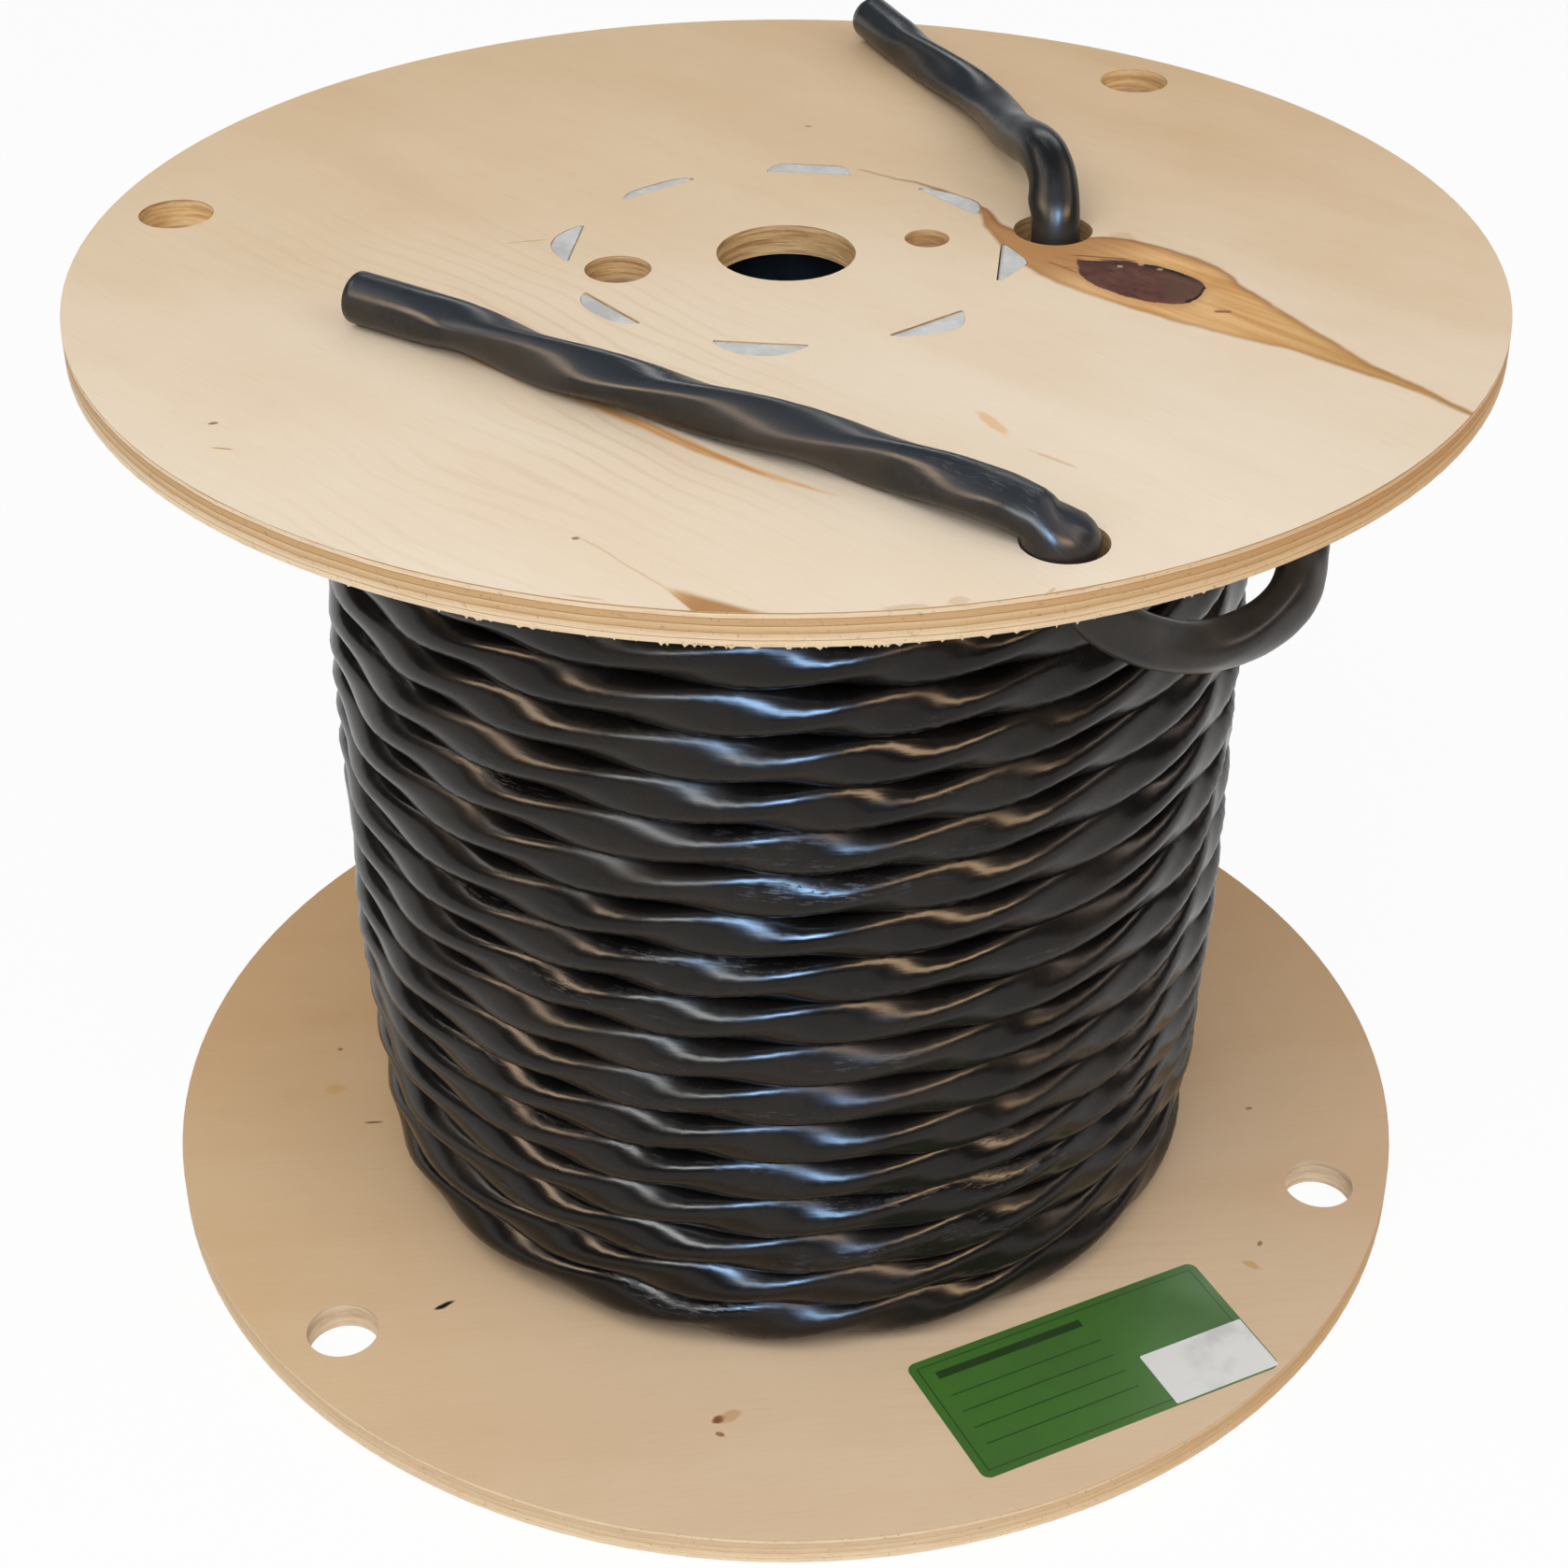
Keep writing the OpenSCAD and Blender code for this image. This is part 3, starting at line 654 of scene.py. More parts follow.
def plywood(name, z_low, grain_angle, near, far, left_tint, lines_at, seed, marks=(), face_work=None):
    """Veneered plywood: grain on the faces, plies and glue lines on the rim and in the holes.
    The face is painted lighter at the front, near, and darker and warmer at the back, far, and tinted by
    left_tint to the left: painted light and shade falling off across it.
    Its growth lines are clearest around lines_at, in metres. marks are spots and short streaks: x, y, length,
    width, angle, screen colour and strength. face_work draws what is on this face alone."""
    m = Shader(name)
    x, y, z = m.split(m.coords())
    c, s = heading(grain_angle)
    u, v = m.turned(x, y, c, s)
    nx, ny, nz = m.split(m.normal())

    # Face: broad soft streaks, fibres and faint wavy growth lines along the grain.
    warp = m.grain(u, 7, v, 12, seed, 3)
    broad = m.grain(u, 3, v, 22, seed + 3, 3, 0.55)
    fibre = m.grain(u, 60, v, 1100, seed, 3, 0.6)
    blotch = m.grain(u, 8, v, 13, seed + 8, 4, 0.6)
    pore = m.grain(u, 260, v, 2200, seed + 2, 2, 0.6)
    growth = m.math("SINE", m.add(m.mul(v, 900), m.mul(warp, 34)))
    where = m.range(m.grain(u, 5, v, 8, seed + 5), 0.47, 0.66)
    growth = m.mul(m.range(growth, 0.35, 1), where)
    tone = m.add(m.mul(broad, 0.5), m.mul(blotch, 0.5))
    # Painted light and shade: the face is lighter at the front and darker and warmer towards the back, the
    # left and the right rear.
    face = m.mix(m.range(m.add(y, m.mul(m.sub(blotch, 0.5), 0.12)), -0.17, 0.17), near, far)
    face = m.tint(m.range(m.add(x, m.mul(m.sub(blotch, 0.5), 0.1)), 0, -0.17), face, left_tint)
    face = m.tint(m.range(m.add(x, m.mul(y, 0.5)), 0.06, 0.2), face, (0.96, 0.92, 0.87))
    face = m.tint(m.range(tone, 0.4, 0.66), face, (0.945, 0.91, 0.865))
    face = m.tint(m.mul(m.range(fibre, 0.5, 0.74), 0.16), face, (0.8, 0.73, 0.63))
    clear = m.range(m.far(m.sub(x, lines_at[0]), m.sub(y, lines_at[1])), 0.16, 0.05, 0.06, 0.5)
    face = m.tint(m.mul(growth, clear), face, (0.88, 0.82, 0.74))
    face = m.tint(m.mul(m.range(pore, 0.66, 0.74), 0.16), face, (0.55, 0.44, 0.32))
    for px, py, along, wide, angle, shade, strength in marks:
        a, b = m.turned(m.sub(x, px * MM), m.sub(y, py * MM), *heading(angle))
        a, b = m.math("DIVIDE", a, along * MM), m.math("DIVIDE", b, wide * MM)
        wobble = m.mul(m.sub(m.grain(x, 300, y, 300, seed, 3), 0.5), 0.9)
        face = m.layers(face, (m.range(m.add(m.far(a, b), wobble), 1.05, 0.55), strength, shade))
    height = m.add(m.mul(fibre, 0.4), m.mul(growth, -0.15))
    if face_work:
        face, height = face_work(m, u, v, x, y, face, height)

    # Rim and holes: five plies whose grain turns by a right angle from one to the next.
    wander = m.grain(x, 26, y, 26, m.mul(z, 60), 3)
    h = m.math("DIVIDE", m.sub(z, z_low * MM), FLANGE_T * MM)
    plies = m.ramp(m.add(h, m.mul(m.sub(wander, 0.5), 0.1)), PLIES)
    if not face_work:
        plies = m.mix(0.5, plies, PALE)
    cut = m.add(m.mul(nx, c), m.mul(ny, s))
    end_grain = m.mul(cut, cut)
    streak = m.grain(x, 80, y, 80, m.mul(z, 1500), 4, 0.65)
    pores = m.grain(x, 700, y, 700, m.mul(z, 900), 2, 0.6)
    rim = m.layers(plies, (m.range(streak, 0.46, 0.74), 0.45, (196, 154, 104)),
                   (end_grain, 0.2, (214, 176, 128)), (m.range(pores, 0.62, 0.72), 0.4, (140, 98, 58)))
    # Painted shade: rim faces turned towards +x are painted darker and warmer.
    rim = m.tint(m.range(nx, 0.1, 0.85), rim, (0.86, 0.72, 0.56))
    # Drilled holes are painted darker, as painted shade inside them, with ragged strokes of the drill.
    in_hole = m.range(m.far(x, y), OUT_OF_RIM, IN_RIM)
    stroke = m.grain(x, 55, y, 55, m.mul(z, 620), 4, 0.7)
    wall = m.mix(m.range(stroke, 0.38, 0.64), srgb(236, 198, 138), srgb(184, 138, 84))
    wall = m.layers(wall, (m.range(stroke, 0.6, 0.7), 0.8, (112, 76, 42)))
    # On the bottom flange the hole walls are painted paler, as painted light where light falls into them.
    if not face_work:
        wall = m.mix(0.8, wall, m.mix(m.range(stroke, 0.4, 0.66), srgb(252, 242, 224), srgb(222, 192, 154)))
    rim = m.mix(m.mul(in_hole, 0.72), rim, wall)
    on_rim = m.range(m.math("ABSOLUTE", nz), 0.75, 0.35)
    rim_height = m.add(m.mul(streak, 1.5), m.mul(pores, 1), m.mul(stroke, in_hole, 2.5))
    surface = m.add(m.mul(height, m.sub(1, on_rim)), m.mul(rim_height, on_rim))
    return m.made(Base_Color=m.mix(on_rim, face, rim), Roughness=m.range(tone, 0.3, 0.7, 0.6, 0.72),
                  Normal=m.bump(surface, 0.00025, 0.55), Specular_IOR_Level=WOOD_GLOSS)


# The torn strip's upper and lower edge, along and across the top veneer's grain, and the box that holds
# them: where it starts along and across, its length and its width.
STRIP_BOX = (-32, 30, 234, 60)
STRIP_TOP = [
    (-31, 60.6), (-18, 63.4), (-6, 66.2), (7.6, 66.8), (17.5, 64.9), (28.5, 60.5), (38.7, 59),
    (48.4, 60.2), (53, 68), (60, 75), (67.5, 78), (81.1, 79.7), (94.5, 78.6), (107.7, 73.2),
    (121.7, 68.9), (145.5, 61.2), (168, 56), (201, 51.4)]
STRIP_BOTTOM = [
    (-31, 60.2), (-18, 62.9), (-4, 65.2), (17.6, 61.2), (28, 54.5), (39.9, 47.5), (55.9, 41),
    (71.7, 38.5), (89.5, 38.8), (103.9, 40.8), (117.4, 43.5), (130.6, 46.3), (143.5, 49), (157.8, 49.9),
    (178.6, 50.6), (201, 49.6)]
# The knot's back and front edge, as x and y, and their box.
KNOT_BOX = (80, -40, 40, 40)
KNOT_BACK = [
    (80, -4.6), (90, -6), (96.4, -6.2), (101, -7.9), (105.5, -9.9), (109.6, -13.2), (114.1, -17.7),
    (116.3, -20.9), (117.2, -24.8), (120, -26)]
KNOT_FRONT = [
    (80, -13), (82.5, -15.8), (84.7, -20.3), (87.9, -24.8), (97.2, -32.6), (103.9, -35.2), (110, -35.2),
    (114.2, -31.1), (117.2, -24.8), (120, -23)]
KNOT_FLECKS = ((94.5, -9.9), (105.6, -12), (100.6, -8.6))
# Cracks around the knot: x and y of both ends and the width, the screen colour and the strength.
CRACKS = (
    ((80, -1.6, 99, -5.2, 0.7), (112, 66, 40), 0.8),
    ((88, -4.8, 101, -6.4, 0.8), (92, 50, 36), 0.7),
    ((73.5, -5.5, 83, -15.2, 0.8), (140, 88, 44), 0.7),
    ((77, -9.5, 84.5, -12.2, 0.6), (150, 98, 52), 0.6),
    ((76, -2.2, 83, -8, 0.7), (164, 112, 60), 0.6),
    ((116.8, -40.2, 122.4, -40.8, 1.3), (140, 78, 48), 0.9))
# The resin streak beside the lying cable: its middle and its half width along the grain.
RESIN_MIDDLE = [(0, 0.36), (0.15, 0.12), (0.3, 0.2), (0.55, 0.3), (0.75, 0.36), (1, 0.62)]
RESIN_HALF = [(0, 0.05), (0.12, 0.35), (0.4, 0.5), (0.7, 0.42), (0.9, 0.25), (1, 0)]


def torn_strip(m, u, v, x, y, face, height):
    """What is on the top veneer alone: a dark knot in a long strip of resin-brown, torn wood beside the start
    hole, a resin streak and a brown stain."""
    wobble = m.mul(m.sub(m.grain(u, 60, v, 90, 2, 4), 0.5), 0.004)
    vv = m.add(v, wobble)

    def place_in(box, at):
        """How far along a box a point lies, from 0 to 1."""
        return m.math("DIVIDE", m.sub(at, box[0] * MM), box[2] * MM)

    def edge(box, place, points):
        """A line through points in a box."""
        x0, y0, long, wide = box
        shape = [((a - x0) / long, (b - y0) / wide) for a, b in points]
        return m.math("MULTIPLY_ADD", m.curve(place, shape), wide * MM, y0 * MM)

    def crack_line(x0, y0, x1, y1, wide):
        """A straight line on the face, fading at both ends, in millimetres."""
        length = math.hypot(x1 - x0, y1 - y0)
        along, across = m.turned(m.sub(x, x0 * MM), m.sub(y, y0 * MM), (x1 - x0) / length, (y1 - y0) / length)
        across = m.math("ABSOLUTE", m.add(across, m.mul(wobble, 0.35)))
        ends = m.both(along, 0, 0.2 * length * MM, length * MM, 0.8 * length * MM)
        return m.mul(m.range(across, wide * MM, 0.2 * wide * MM), ends)

    # The torn wood, darker along its edges.
    place = place_in(STRIP_BOX, u)
    from_top = m.sub(edge(STRIP_BOX, place, STRIP_TOP), vv)
    from_bottom = m.sub(vv, edge(STRIP_BOX, place, STRIP_BOTTOM))
    soft = 0.0011
    inside = m.mul(m.range(from_top, -soft, soft), m.range(from_bottom, -soft, soft))
    inside = m.mul(inside, m.both(place, 0.004, 0.02, 1, 0.985))
    streaks = m.grain(u, 22, v, 330, 6, 4, 0.6)
    middle = m.grain(u, 30, v, 60, 4, 3)
    rim_dark = m.most(m.range(from_top, 0.0042, 0), m.mul(m.range(from_bottom, 0.003, 0), 0.7))
    line = m.mul(m.range(from_top, 0.0016, 0.0004), m.range(u, 0.16, 0.06))
    wood = m.mix(m.range(streaks, 0.35, 0.68), srgb(230, 184, 124), srgb(206, 150, 84))
    wood = m.layers(wood, (m.range(middle, 0.5, 0.7), 1, (222, 178, 124)),
                    (m.range(u, 0.08, 0.056), 0.85, (180, 128, 76)),
                    (m.range(u, 0.11, 0.175), 0.8, (190, 146, 82)),
                    (rim_dark, 0.65, (160, 106, 50)), (line, 0.6, (104, 62, 28)))

    # The knot: straight and torn along its back, cracked there and at its right end.
    knot_place = place_in(KNOT_BOX, x)
    ragged = m.mul(m.sub(m.grain(u, 300, v, 300, 1, 4, 0.65), 0.5), 0.0022)
    behind = m.sub(m.add(edge(KNOT_BOX, knot_place, KNOT_BACK), ragged), y)
    ahead = m.sub(y, m.sub(edge(KNOT_BOX, knot_place, KNOT_FRONT), ragged))
    left = m.add(x, ragged)
    knot = m.mul(m.range(behind, -0.0003, 0.0003), m.range(ahead, -0.0003, 0.0003),
                 m.range(left, 0.0823, 0.083))
    halo = m.mul(m.mul(m.range(behind, -0.006, 0), m.range(ahead, -0.006, 0)),
                 m.mul(m.range(left, 0.076, 0.083), m.range(x, 0.124, 0.117)))
    fleck = m.grain(u, 420, v, 420, 3, 3, 0.7)
    cloud = m.grain(u, 110, v, 160, 5, 3, 0.6)
    deep = m.mul(m.both(behind, 0.003, 0.0012, -0.0002, 0.0004), m.both(x, 0.099, 0.104, 0.115, 0.1115))
    deep = m.most(deep, m.mul(m.range(ahead, 0.0024, 0.001), m.both(x, 0.1095, 0.1105, 0.1172, 0.116)))
    split = m.range(m.grain(u, 120, v, 420, 7, 4, 0.7), 0.6, 0.66)
    crack = m.most(deep, m.mul(split, 0.6))
    knot_colour = m.mix(m.range(cloud, 0.4, 0.64), srgb(86, 44, 34), srgb(104, 60, 44))
    knot_colour = m.layers(knot_colour, (m.range(fleck, 0.5, 0.66), 0.5, (66, 38, 32)),
                           (m.range(x, 0.102, 0.11), 0.55, (98, 70, 46)),
                           (m.range(behind, 0.0055, 0), 0.6, (58, 32, 28)),
                           (m.range(ahead, 0.0035, 0), 0.5, (122, 58, 52)), (crack, 1, (24, 14, 11)))
    for px, py in KNOT_FLECKS:
        away = m.far(m.sub(x, px * MM), m.sub(y, py * MM))
        knot_colour = m.layers(knot_colour, (m.range(away, 0.0011, 0.0006), 1, (182, 140, 108)))
    wood = m.layers(wood, (halo, 0.35, (172, 116, 62)),
                    *((crack_line(*line_at), strength, shade) for line_at, shade, strength in CRACKS))
    face = m.mix(inside, face, m.mix(knot, wood, knot_colour))
    rough = m.add(m.mul(streaks, 1.6), m.mul(knot, m.add(-1.6, m.mul(fleck, 1.6))), m.mul(crack, knot, -3))
    height = m.add(height, m.mul(inside, m.add(rough, -1.8)))

    # Resin streak beside the lying cable.
    place = m.math("DIVIDE", m.sub(u, -0.03), 0.145)
    mid = m.math("MULTIPLY_ADD", m.curve(place, RESIN_MIDDLE), 0.025, -0.1105)
    half = m.math("MULTIPLY", m.curve(place, RESIN_HALF), 0.0045)
    off = m.math("ABSOLUTE", m.sub(m.add(v, m.mul(wobble, 0.5)), mid))
    streak = m.mul(m.range(m.sub(off, half), 0.0008, -0.0014), m.both(place, 0, 0.02, 1, 0.97))
    resin = m.mix(m.range(streaks, 0.4, 0.6), srgb(206, 138, 62), srgb(232, 178, 108))
    face = m.mix(m.mul(streak, 0.85), face, resin)

    # Brown stain that runs in a thin line to the front rim and fans out there.
    face = m.layers(face, (crack_line(-52, -164.2, -24, -195.7, 0.6), 0.38, (204, 158, 100)))
    ax, ay = m.sub(x, -0.0494), m.sub(y, -0.1671)
    along = m.sub(m.add(m.mul(ax, 0.664), m.mul(ay, -0.748)), 0.0315)
    aside = m.add(m.mul(ax, 0.748), m.mul(ay, 0.664), m.mul(wobble, 0.3))
    fan = m.mul(m.range(m.sub(aside, m.mul(along, 0.36)), 0.0016, -0.0014),
                m.range(m.add(aside, m.mul(along, 0.15)), -0.0006, 0.0003), m.range(along, -0.001, 0.006))
    brush = m.grain(along, 60, aside, 700, 8, 3, 0.6)
    stain = m.range(m.add(along, m.mul(m.sub(brush, 0.5), 0.012)), -0.001, 0.012)
    face = m.mix(m.mul(fan, 0.9), face, m.mix(stain, srgb(222, 178, 122), srgb(172, 118, 56)))
    return face, height


TOP_MARKS = [
    (-145.2, -108.5, 1.6, 0.8, 20, (140, 96, 50), 0.9),
    (-140.7, -122.4, 3.2, 0.5, -10, (190, 140, 84), 0.8), (-49.6, -168.4, 1, 0.8, 0, (120, 86, 50), 0.8),
    (7.1, 100.1, 1.3, 0.9, 0, (150, 110, 66), 0.7), (52, -108, 9, 2.2, -62, (226, 178, 120), 0.65),
    (66, -128, 9, 0.8, -40, (206, 160, 110), 0.5), (27, -200.6, 6, 1.8, 7, (206, 176, 134), 0.55),
    (39, -197.6, 3.4, 2.2, 20, (204, 176, 134), 0.5), (60, -193.6, 3, 0.7, 60, (196, 156, 108), 0.5),
    (-46, -196, 6, 0.6, -14, (200, 160, 112), 0.5), (97, 10, 6, 5, 0, (190, 150, 100), 0.35),
    (-75, 8, 8, 0.6, 12, (200, 160, 110), 0.5)]
BOTTOM_MARKS = [
    (-152.8, -9, 4, 3, 10, (222, 176, 112), 0.75), (-137.7, -26.1, 3.4, 0.6, 5, (120, 84, 50), 0.9),
    (-105.5, -111.3, 4.2, 1.1, 34, (22, 16, 12), 1), (-19.8, -157.9, 2.6, 1.7, 40, (128, 76, 30), 0.95),
    (-19.2, -163.8, 1.8, 1.1, -20, (150, 100, 50), 0.9), (-16.5, -156.5, 4, 2.6, 30, (200, 150, 96), 0.6),
    (155.9, -19, 1.4, 0.8, 10, (150, 104, 54), 0.8), (146.2, -93.7, 3.8, 1.8, -35, (214, 160, 96), 0.7),
    (150, -84, 1.6, 0.9, 60, (140, 92, 44), 0.8), (-154, 12, 1, 0.8, 0, (130, 92, 52), 0.8)]
top_wood = plywood("top_plywood", FLANGE_TOP, -45, srgb(238, 222, 200), srgb(228, 200, 163),
                   (0.985, 0.97, 0.945), (-0.1, -0.1), 0, TOP_MARKS, torn_strip)
# The bottom flange's veneer is painted darker and warmer than the top's, as painted shade under the top
# flange.
bottom_wood = plywood("bottom_plywood", 0, 8, srgb(234, 207, 175), srgb(231, 192, 148),
                      (0.975, 0.925, 0.82), (0.02, -0.17), 21, BOTTOM_MARKS)
dress("top_flange", top_wood)
dress("bottom_flange", bottom_wood)


def rim_splinters():
    """Torn fibres along the lower front edge of the top flange."""
    rng = random.Random(11)
    verts, faces = [], []
    for _ in range(64):
        around, length = rng.gauss(-92, 12), rng.uniform(0.8, 3.4)
        drop, lean = rng.uniform(0.25, 0.95), rng.uniform(-0.3, 0.3)
        start = len(verts)
        for share, r, z in ((-0.5, 202.75, 0.25), (lean, 203.12, 0.3), (lean * 0.6, 202.8, -drop),
                            (lean, 202.2, 0.1), (lean * 0.5, 202.7, 0.6), (0.5, 202.75, 0.25)):
            a = math.radians(around) + share * length / 203
            verts.append((r * math.cos(a), r * math.sin(a), FLANGE_TOP + z))
        for k in range(4):
            n = (k + 1) % 4
            faces += [(start, start + 1 + k, start + 1 + n), (start + 5, start + 1 + n, start + 1 + k)]
    obj = new_object("rim_splinters", verts, faces, smooth=False)
    obj.data.materials.append(top_wood)
    hold(obj)


rim_splinters()


def sheath_material(name, base, dusty, shine, sky_sheen_and_dust=None, riser_shade=None):
    """Glossy black sheath with drawn lines, scuffs and dull patches. On the top flange its upper side is
    painted a lighter blue-grey, a painted sky reflection with dust, and the part that rises from the start
    hole is painted darker, as painted shade."""
    m = Shader(name)
    along, around, _ = m.split(m.coords("UV"))
    place = m.coords()
    lines = m.grain(along, 14, around, 1500, 0)
    dull = m.noise(place, 26, 4, 0.6)
    scuff = m.grain(along, 160, around, 700, 4, 4, 0.75)
    where = m.range(m.grain(along, 9, around, 60, 9), 0.58, 0.68)
    scuffed = m.mul(where, m.range(scuff, 0.52, 0.64))
    colour = m.mix(m.range(dull, 0.35, 0.7), base, dusty)
    # Painted reflection with dust: upward faces above the top flange are painted a lighter blue-grey, the
    # sky's sheen on them.
    if sky_sheen_and_dust:
        x, y, z = m.split(place)
        upward = m.split(m.normal())[2]
        above = m.range(z, TOTAL_H * MM, (TOTAL_H + 6) * MM)
        colour = m.mix(m.mul(m.range(upward, 0.15, 0.85), above, 0.9), colour, sky_sheen_and_dust)
        # Painted shade: the part that rises from the start hole is painted darker than the rest of the free
        # end.
        riser = m.mul(m.both(y, 44 * MM, 26 * MM, -20 * MM, 0), m.range(x, 58 * MM, 66 * MM), above)
        colour = m.mix(m.mul(riser, 0.85), colour, riser_shade)
    colour = m.mix(m.mul(scuffed, 0.45), colour, (0.075, 0.08, 0.092))
    grain = m.noise(place, 420, 3, 0.6)
    dents = m.grain(along, 50, around, 90, 2)
    height = m.add(m.mul(lines, 0.3), m.mul(grain, 0.3), m.mul(scuffed, 0.5), m.mul(dents, 0.9))
    rough = m.add(m.range(dull, 0.3, 0.75, shine, shine + 0.14), m.mul(scuffed, 0.22))
    return m.made(Base_Color=colour, Roughness=rough, Normal=m.bump(height, 0.00012, 0.5),
                  Specular_IOR_Level=SHEATH_GLOSS, Specular_Tint=(1, 0.92, 0.82))


def insulation_material(name, colour):
    m = Shader(name)
    place = m.coords()
    cloud = m.noise(place, 300, 3)
    return m.made(Base_Color=m.mix(m.range(cloud, 0.4, 0.7), colour, tuple(0.7 * k for k in colour)),
                  Roughness=m.range(cloud, 0.3, 0.7, 0.25, 0.42),
                  Normal=m.bump(m.noise(place, 1500, 2), 0.00003, 0.5))


def metal_material(name, light, dark, scale, rough_low, rough_high, metallic=1, drum_inner_shade=None):
    """Metal with soft clouds, spangle and scratches, painted near black inside the spool as painted shade in
    the closed drum.
    """
    m = Shader(name)
    x, y, z = m.split(m.coords())
    place = m.join(x, y, z)
    cloud = m.noise(place, scale, 4, 0.6)
    spangle = m.node("TexVoronoi", place)
    spangle.inputs["Scale"].default_value = scale * 5
    scratch = m.grain(x, 900, y, 120, m.mul(z, 120), 3, 0.7)
    colour = m.mix(m.range(cloud, 0.35, 0.7), light, dark)
    spangled = m.mul(m.range(spangle.outputs["Distance"], 0, 0.6), 0.25)
    colour = m.mix(spangled, colour, tuple(0.8 * k for k in dark))
    rough = m.range(m.add(m.mul(cloud, 0.6), m.mul(scratch, 0.4)), 0.35, 0.65, rough_low, rough_high)
    if drum_inner_shade:
        # Painted shade: the drum's sheet is painted near black between the flanges, where its inside lies in
        # shade.
        inside = m.both(z, (TOTAL_H - 6) * MM, (TOTAL_H - 18) * MM, 1 * MM, 12 * MM)
        colour = m.mix(m.mul(inside, 0.94), colour, drum_inner_shade)
        rough = m.add(rough, m.mul(inside, 0.4))
    return m.made(Base_Color=colour, Roughness=rough, Metallic=metallic, Specular_IOR_Level=METAL_GLOSS,
                  Normal=m.bump(m.add(scratch, m.mul(cloud, 2)), 0.0001, 0.4))


def paper_material():
    m = Shader("kraft_paper")
    fibres = m.noise(m.coords(), 900, 4, 0.7)
    return m.made(Base_Color=m.mix(m.range(fibres, 0.35, 0.7), srgb(196, 160, 112), srgb(150, 112, 70)),
                  Roughness=0.8, Normal=m.bump(fibres, 0.00005, 0.6))


def label_material():
    """Green label with a plain ruled form on it."""
    m = Shader("green_label")
    x, y, z = m.split(m.coords())
    c, s = heading(LABEL_ANGLE)
    lx, ly = m.turned(m.sub(x, LABEL_AT * c * MM), m.sub(y, LABEL_AT * s * MM), *heading(LABEL_TURN))

    def box(x0, x1, y0, y1):
        e = 0.00012
        return m.mul(m.both(lx, x0 * MM - e, x0 * MM + e, x1 * MM + e, x1 * MM - e),
                     m.both(ly, y0 * MM - e, y0 * MM + e, y1 * MM + e, y1 * MM - e))

    place = m.join(x, y, z)
    speck, cloud = m.noise(place, 1400, 3, 0.6), m.noise(place, 30, 3, 0.6)
    form = m.most(m.sub(box(-48.5, 48.5, -22, 22), box(-48.1, 48.1, -21.6, 21.6)), box(-44, 6, 15.5, 18.5))
    for line_y in (8, 1, -6, -13):
        form = m.most(form, box(-44, 8, line_y, line_y + 0.45))
    green = m.mix(m.range(cloud, 0.35, 0.7), srgb(70, 118, 45), srgb(64, 109, 40))
    green = m.layers(green, (form, 0.8, (26, 44, 20)), (m.range(speck, 0.62, 0.75), 0.3, (90, 150, 74)))
    return m.made(Base_Color=green, Roughness=m.range(cloud, 0.3, 0.7, 0.32, 0.48),
                  Normal=m.bump(m.add(m.mul(cloud, 2), speck), 0.00006, 0.4))


def sticker_material():
    m = Shader("white_sticker")
    place = m.coords()
    fibres, smudge = m.noise(place, 1200, 3, 0.6), m.noise(place, 60, 3, 0.6)
    return m.made(Base_Color=m.mix(m.range(smudge, 0.45, 0.75), srgb(238, 238, 236), srgb(214, 214, 212)),
                  Roughness=m.range(fibres, 0.3, 0.7, 0.5, 0.65), Normal=m.bump(fibres, 0.00004, 0.4))


wound_sheath = sheath_material("black_sheath", (0.0056, 0.0054, 0.0056), (0.0135, 0.011, 0.0094), 0.19)
# The free ends' sheath is painted about three times lighter than the winding's: a lit copy of one black
# sheath, as painted light.
free_sheath = sheath_material("lit_free_end_sheath", (0.019, 0.0185, 0.019), (0.042, 0.035, 0.029), 0.24,
                              sky_sheen_and_dust=(0.026, 0.033, 0.042), riser_shade=(0.005, 0.0055, 0.006))
steel = metal_material("galvanised_steel", (0.61, 0.61, 0.585), (0.48, 0.48, 0.465), 90, 0.42, 0.6, 0.35,
                       drum_inner_shade=(0.032, 0.027, 0.022))
copper = metal_material("copper", (0.8, 0.4, 0.24), (0.62, 0.28, 0.16), 500, 0.22, 0.38)
for piece, material in ((winding, wound_sheath), (core, wound_sheath), (outer_end, free_sheath),
                        (inner_end, free_sheath), (steel_drum, steel), (outer_strands, copper),
                        (inner_strands, copper)):
    piece.data.materials.append(material)
dress("ground_wires", copper)
dress("paper_wraps", paper_material())
for colour, shade in (("black", (0.02, 0.02, 0.022)), ("white", (0.8, 0.8, 0.77)),
                      ("red", (0.52, 0.03, 0.02))):
    dress(colour + "_insulation", insulation_material(colour + "_insulation_skin", shade))
dress("label", label_material())
dress("label_sticker", sticker_material())


# ---- Floor, background and lamps ----
FLOOR_HALF, FLOOR_Z = 9000, -0.2
FLOOR_WHITE = 0.94  # how white the floor shows; the rest is its own shade, with the shadow
FILL, CEILING, HORIZON = 0.47, 0.045, 0.14  # light from all sides, and how bright and how high gloss sees it
AIM = Vector((0, 0, 0.17))

corners = ((-1, -1), (1, -1), (1, 1), (-1, 1))
floor = new_object("floor", [(FLOOR_HALF * a, FLOOR_HALF * b, FLOOR_Z) for a, b in corners], [(0, 1, 2, 3)],
                   smooth=False)
paper = Shader("pale_floor")
path = paper.node("LightPath").outputs
seen = paper.most(paper.most(path["Is Camera Ray"], path["Is Glossy Ray"]), path["Is Transmission Ray"])
white = paper.node("Emission", (1, 1, 1), 1).outputs[0]
paper.show("MixShader", paper.mul(seen, FLOOR_WHITE), paper.bsdf.outputs[0], white)
floor.data.materials.append(paper.made(Base_Color=(0.93, 0.93, 0.92), Roughness=0.85))

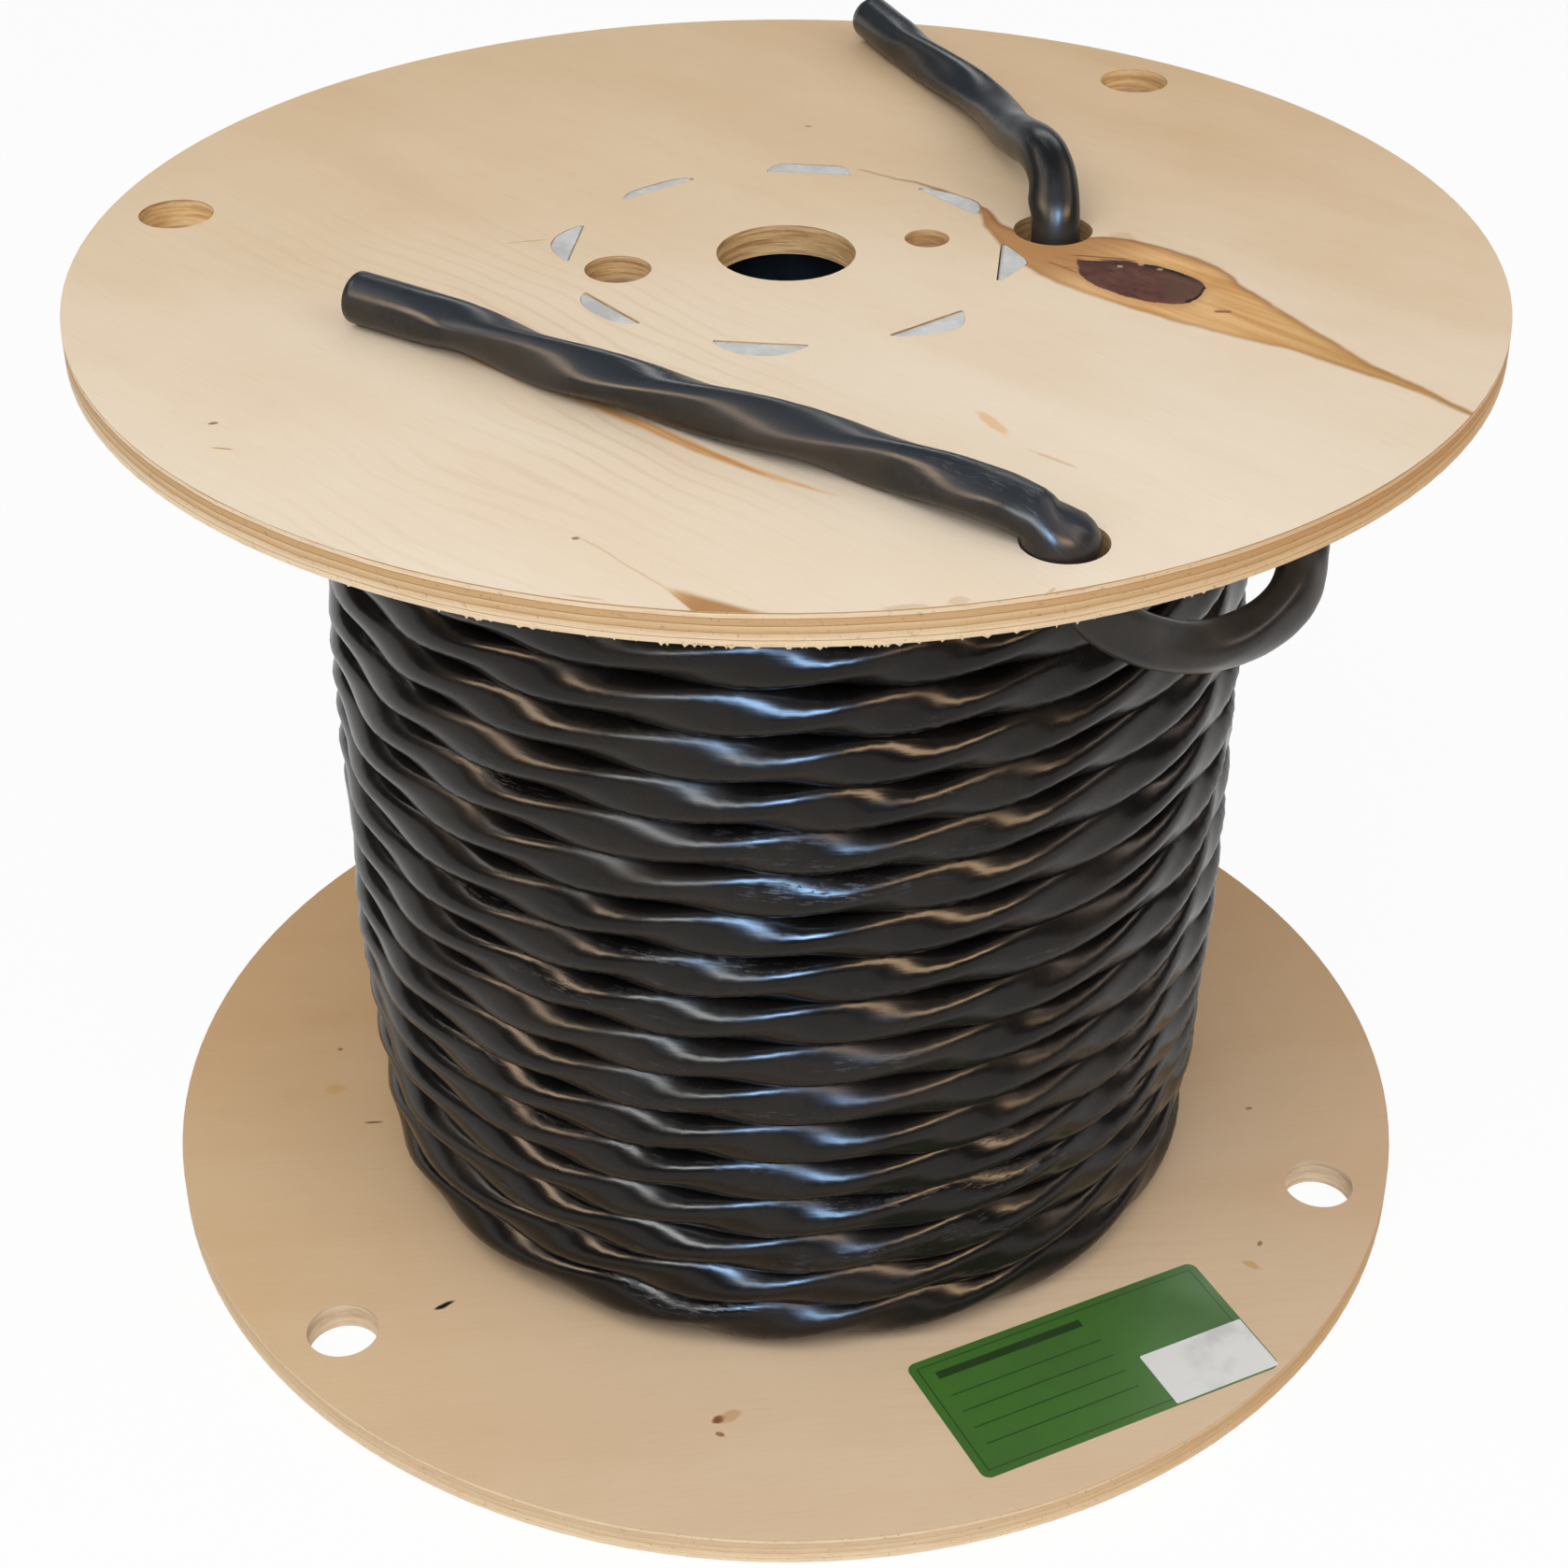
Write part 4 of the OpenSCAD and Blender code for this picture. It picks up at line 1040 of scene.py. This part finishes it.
# White for the camera. Gloss shows that white up to a little over the horizon, and a dim ceiling above it.
scene.world = bpy.data.worlds.new("studio")
sky = Nodes(scene.world, "OutputWorld")
path = sky.node("LightPath").outputs
height = sky.split(sky.coords("Generated"))[2]
gloss = sky.node("MapRange", height, 0, HORIZON, 1, CEILING).outputs[0]
fill, ceiling, white = (sky.node("Background", *look).outputs[0]
                        for look in (((0.98, 0.99, 1), FILL), (gloss,), ((1, 1, 1),)))
unseen = sky.node("MixShader", path["Is Glossy Ray"], fill, ceiling).outputs[0]
sky.show("MixShader", sky.most(path["Is Camera Ray"], path["Is Transmission Ray"]), unseen, white)


def lamp(name, azimuth, elevation, distance, size_x, size_y, power, colour):
    """A soft box that faces the spool. Azimuth 0 is the camera's side, positive to the right."""
    data = bpy.data.lights.new(name, "AREA")
    data.shape, data.size, data.size_y = "RECTANGLE", size_x, size_y
    data.energy, data.color = power, colour
    obj = bpy.data.objects.new(name, data)
    scene.collection.objects.link(obj)
    (ca, sa), (ce, se) = heading(azimuth), heading(elevation)
    way = Vector((sa * ce, -ca * ce, se))
    obj.location = AIM + way * distance
    obj.rotation_euler = (-way).to_track_quat("-Z", "Y").to_euler()
    obj.visible_camera = False
    return obj


key = lamp("key", -22, 52, 1.35, 1, 0.9, 8.7, (1, 0.985, 0.96))
side = lamp("side", 55, 35, 1.5, 1, 0.8, 3.8, (1, 0.985, 0.97))
key.visible_glossy = side.visible_glossy = False
# Lamps that only show in glossy surfaces, as the streaks of light on the cable: azimuth, elevation, width and
# height in metres, radiance and colour.
STREAKS = [
    ("blue_streak", -1, 31, 0.34, 0.36, 100, (0.32, 0.56, 1)),
    ("pale_streak", -25, 31, 0.5, 0.34, 24, (0.84, 0.93, 1)),
    ("warm_streak", 38, 32, 0.85, 0.34, 19, (1, 0.74, 0.5)),
    ("left_streak", -64, 32, 0.7, 0.34, 17, (1, 0.78, 0.58)),
    ("far_left_streak", -108, 40, 0.9, 0.16, 9, (1, 0.94, 0.88)),
    ("far_right_streak", 92, 40, 0.9, 0.16, 6, (1, 0.88, 0.8)),
    ("back_streak", 170, 40, 1.2, 0.2, 8, (0.95, 0.97, 1)),
    ("right_glow", 84, 48, 1.4, 1, 1.3, (1, 0.8, 0.72)),
    ("left_glow", -80, 50, 1.4, 1, 0.4, (0.5, 0.68, 1))]
for name, azimuth, elevation, wide, high, radiance, colour in STREAKS:
    streak = lamp(name, azimuth, elevation, 1.6, wide, high, radiance * math.pi * wide * high, colour)
    streak.visible_diffuse = False
scene.view_settings.view_transform = "Standard"
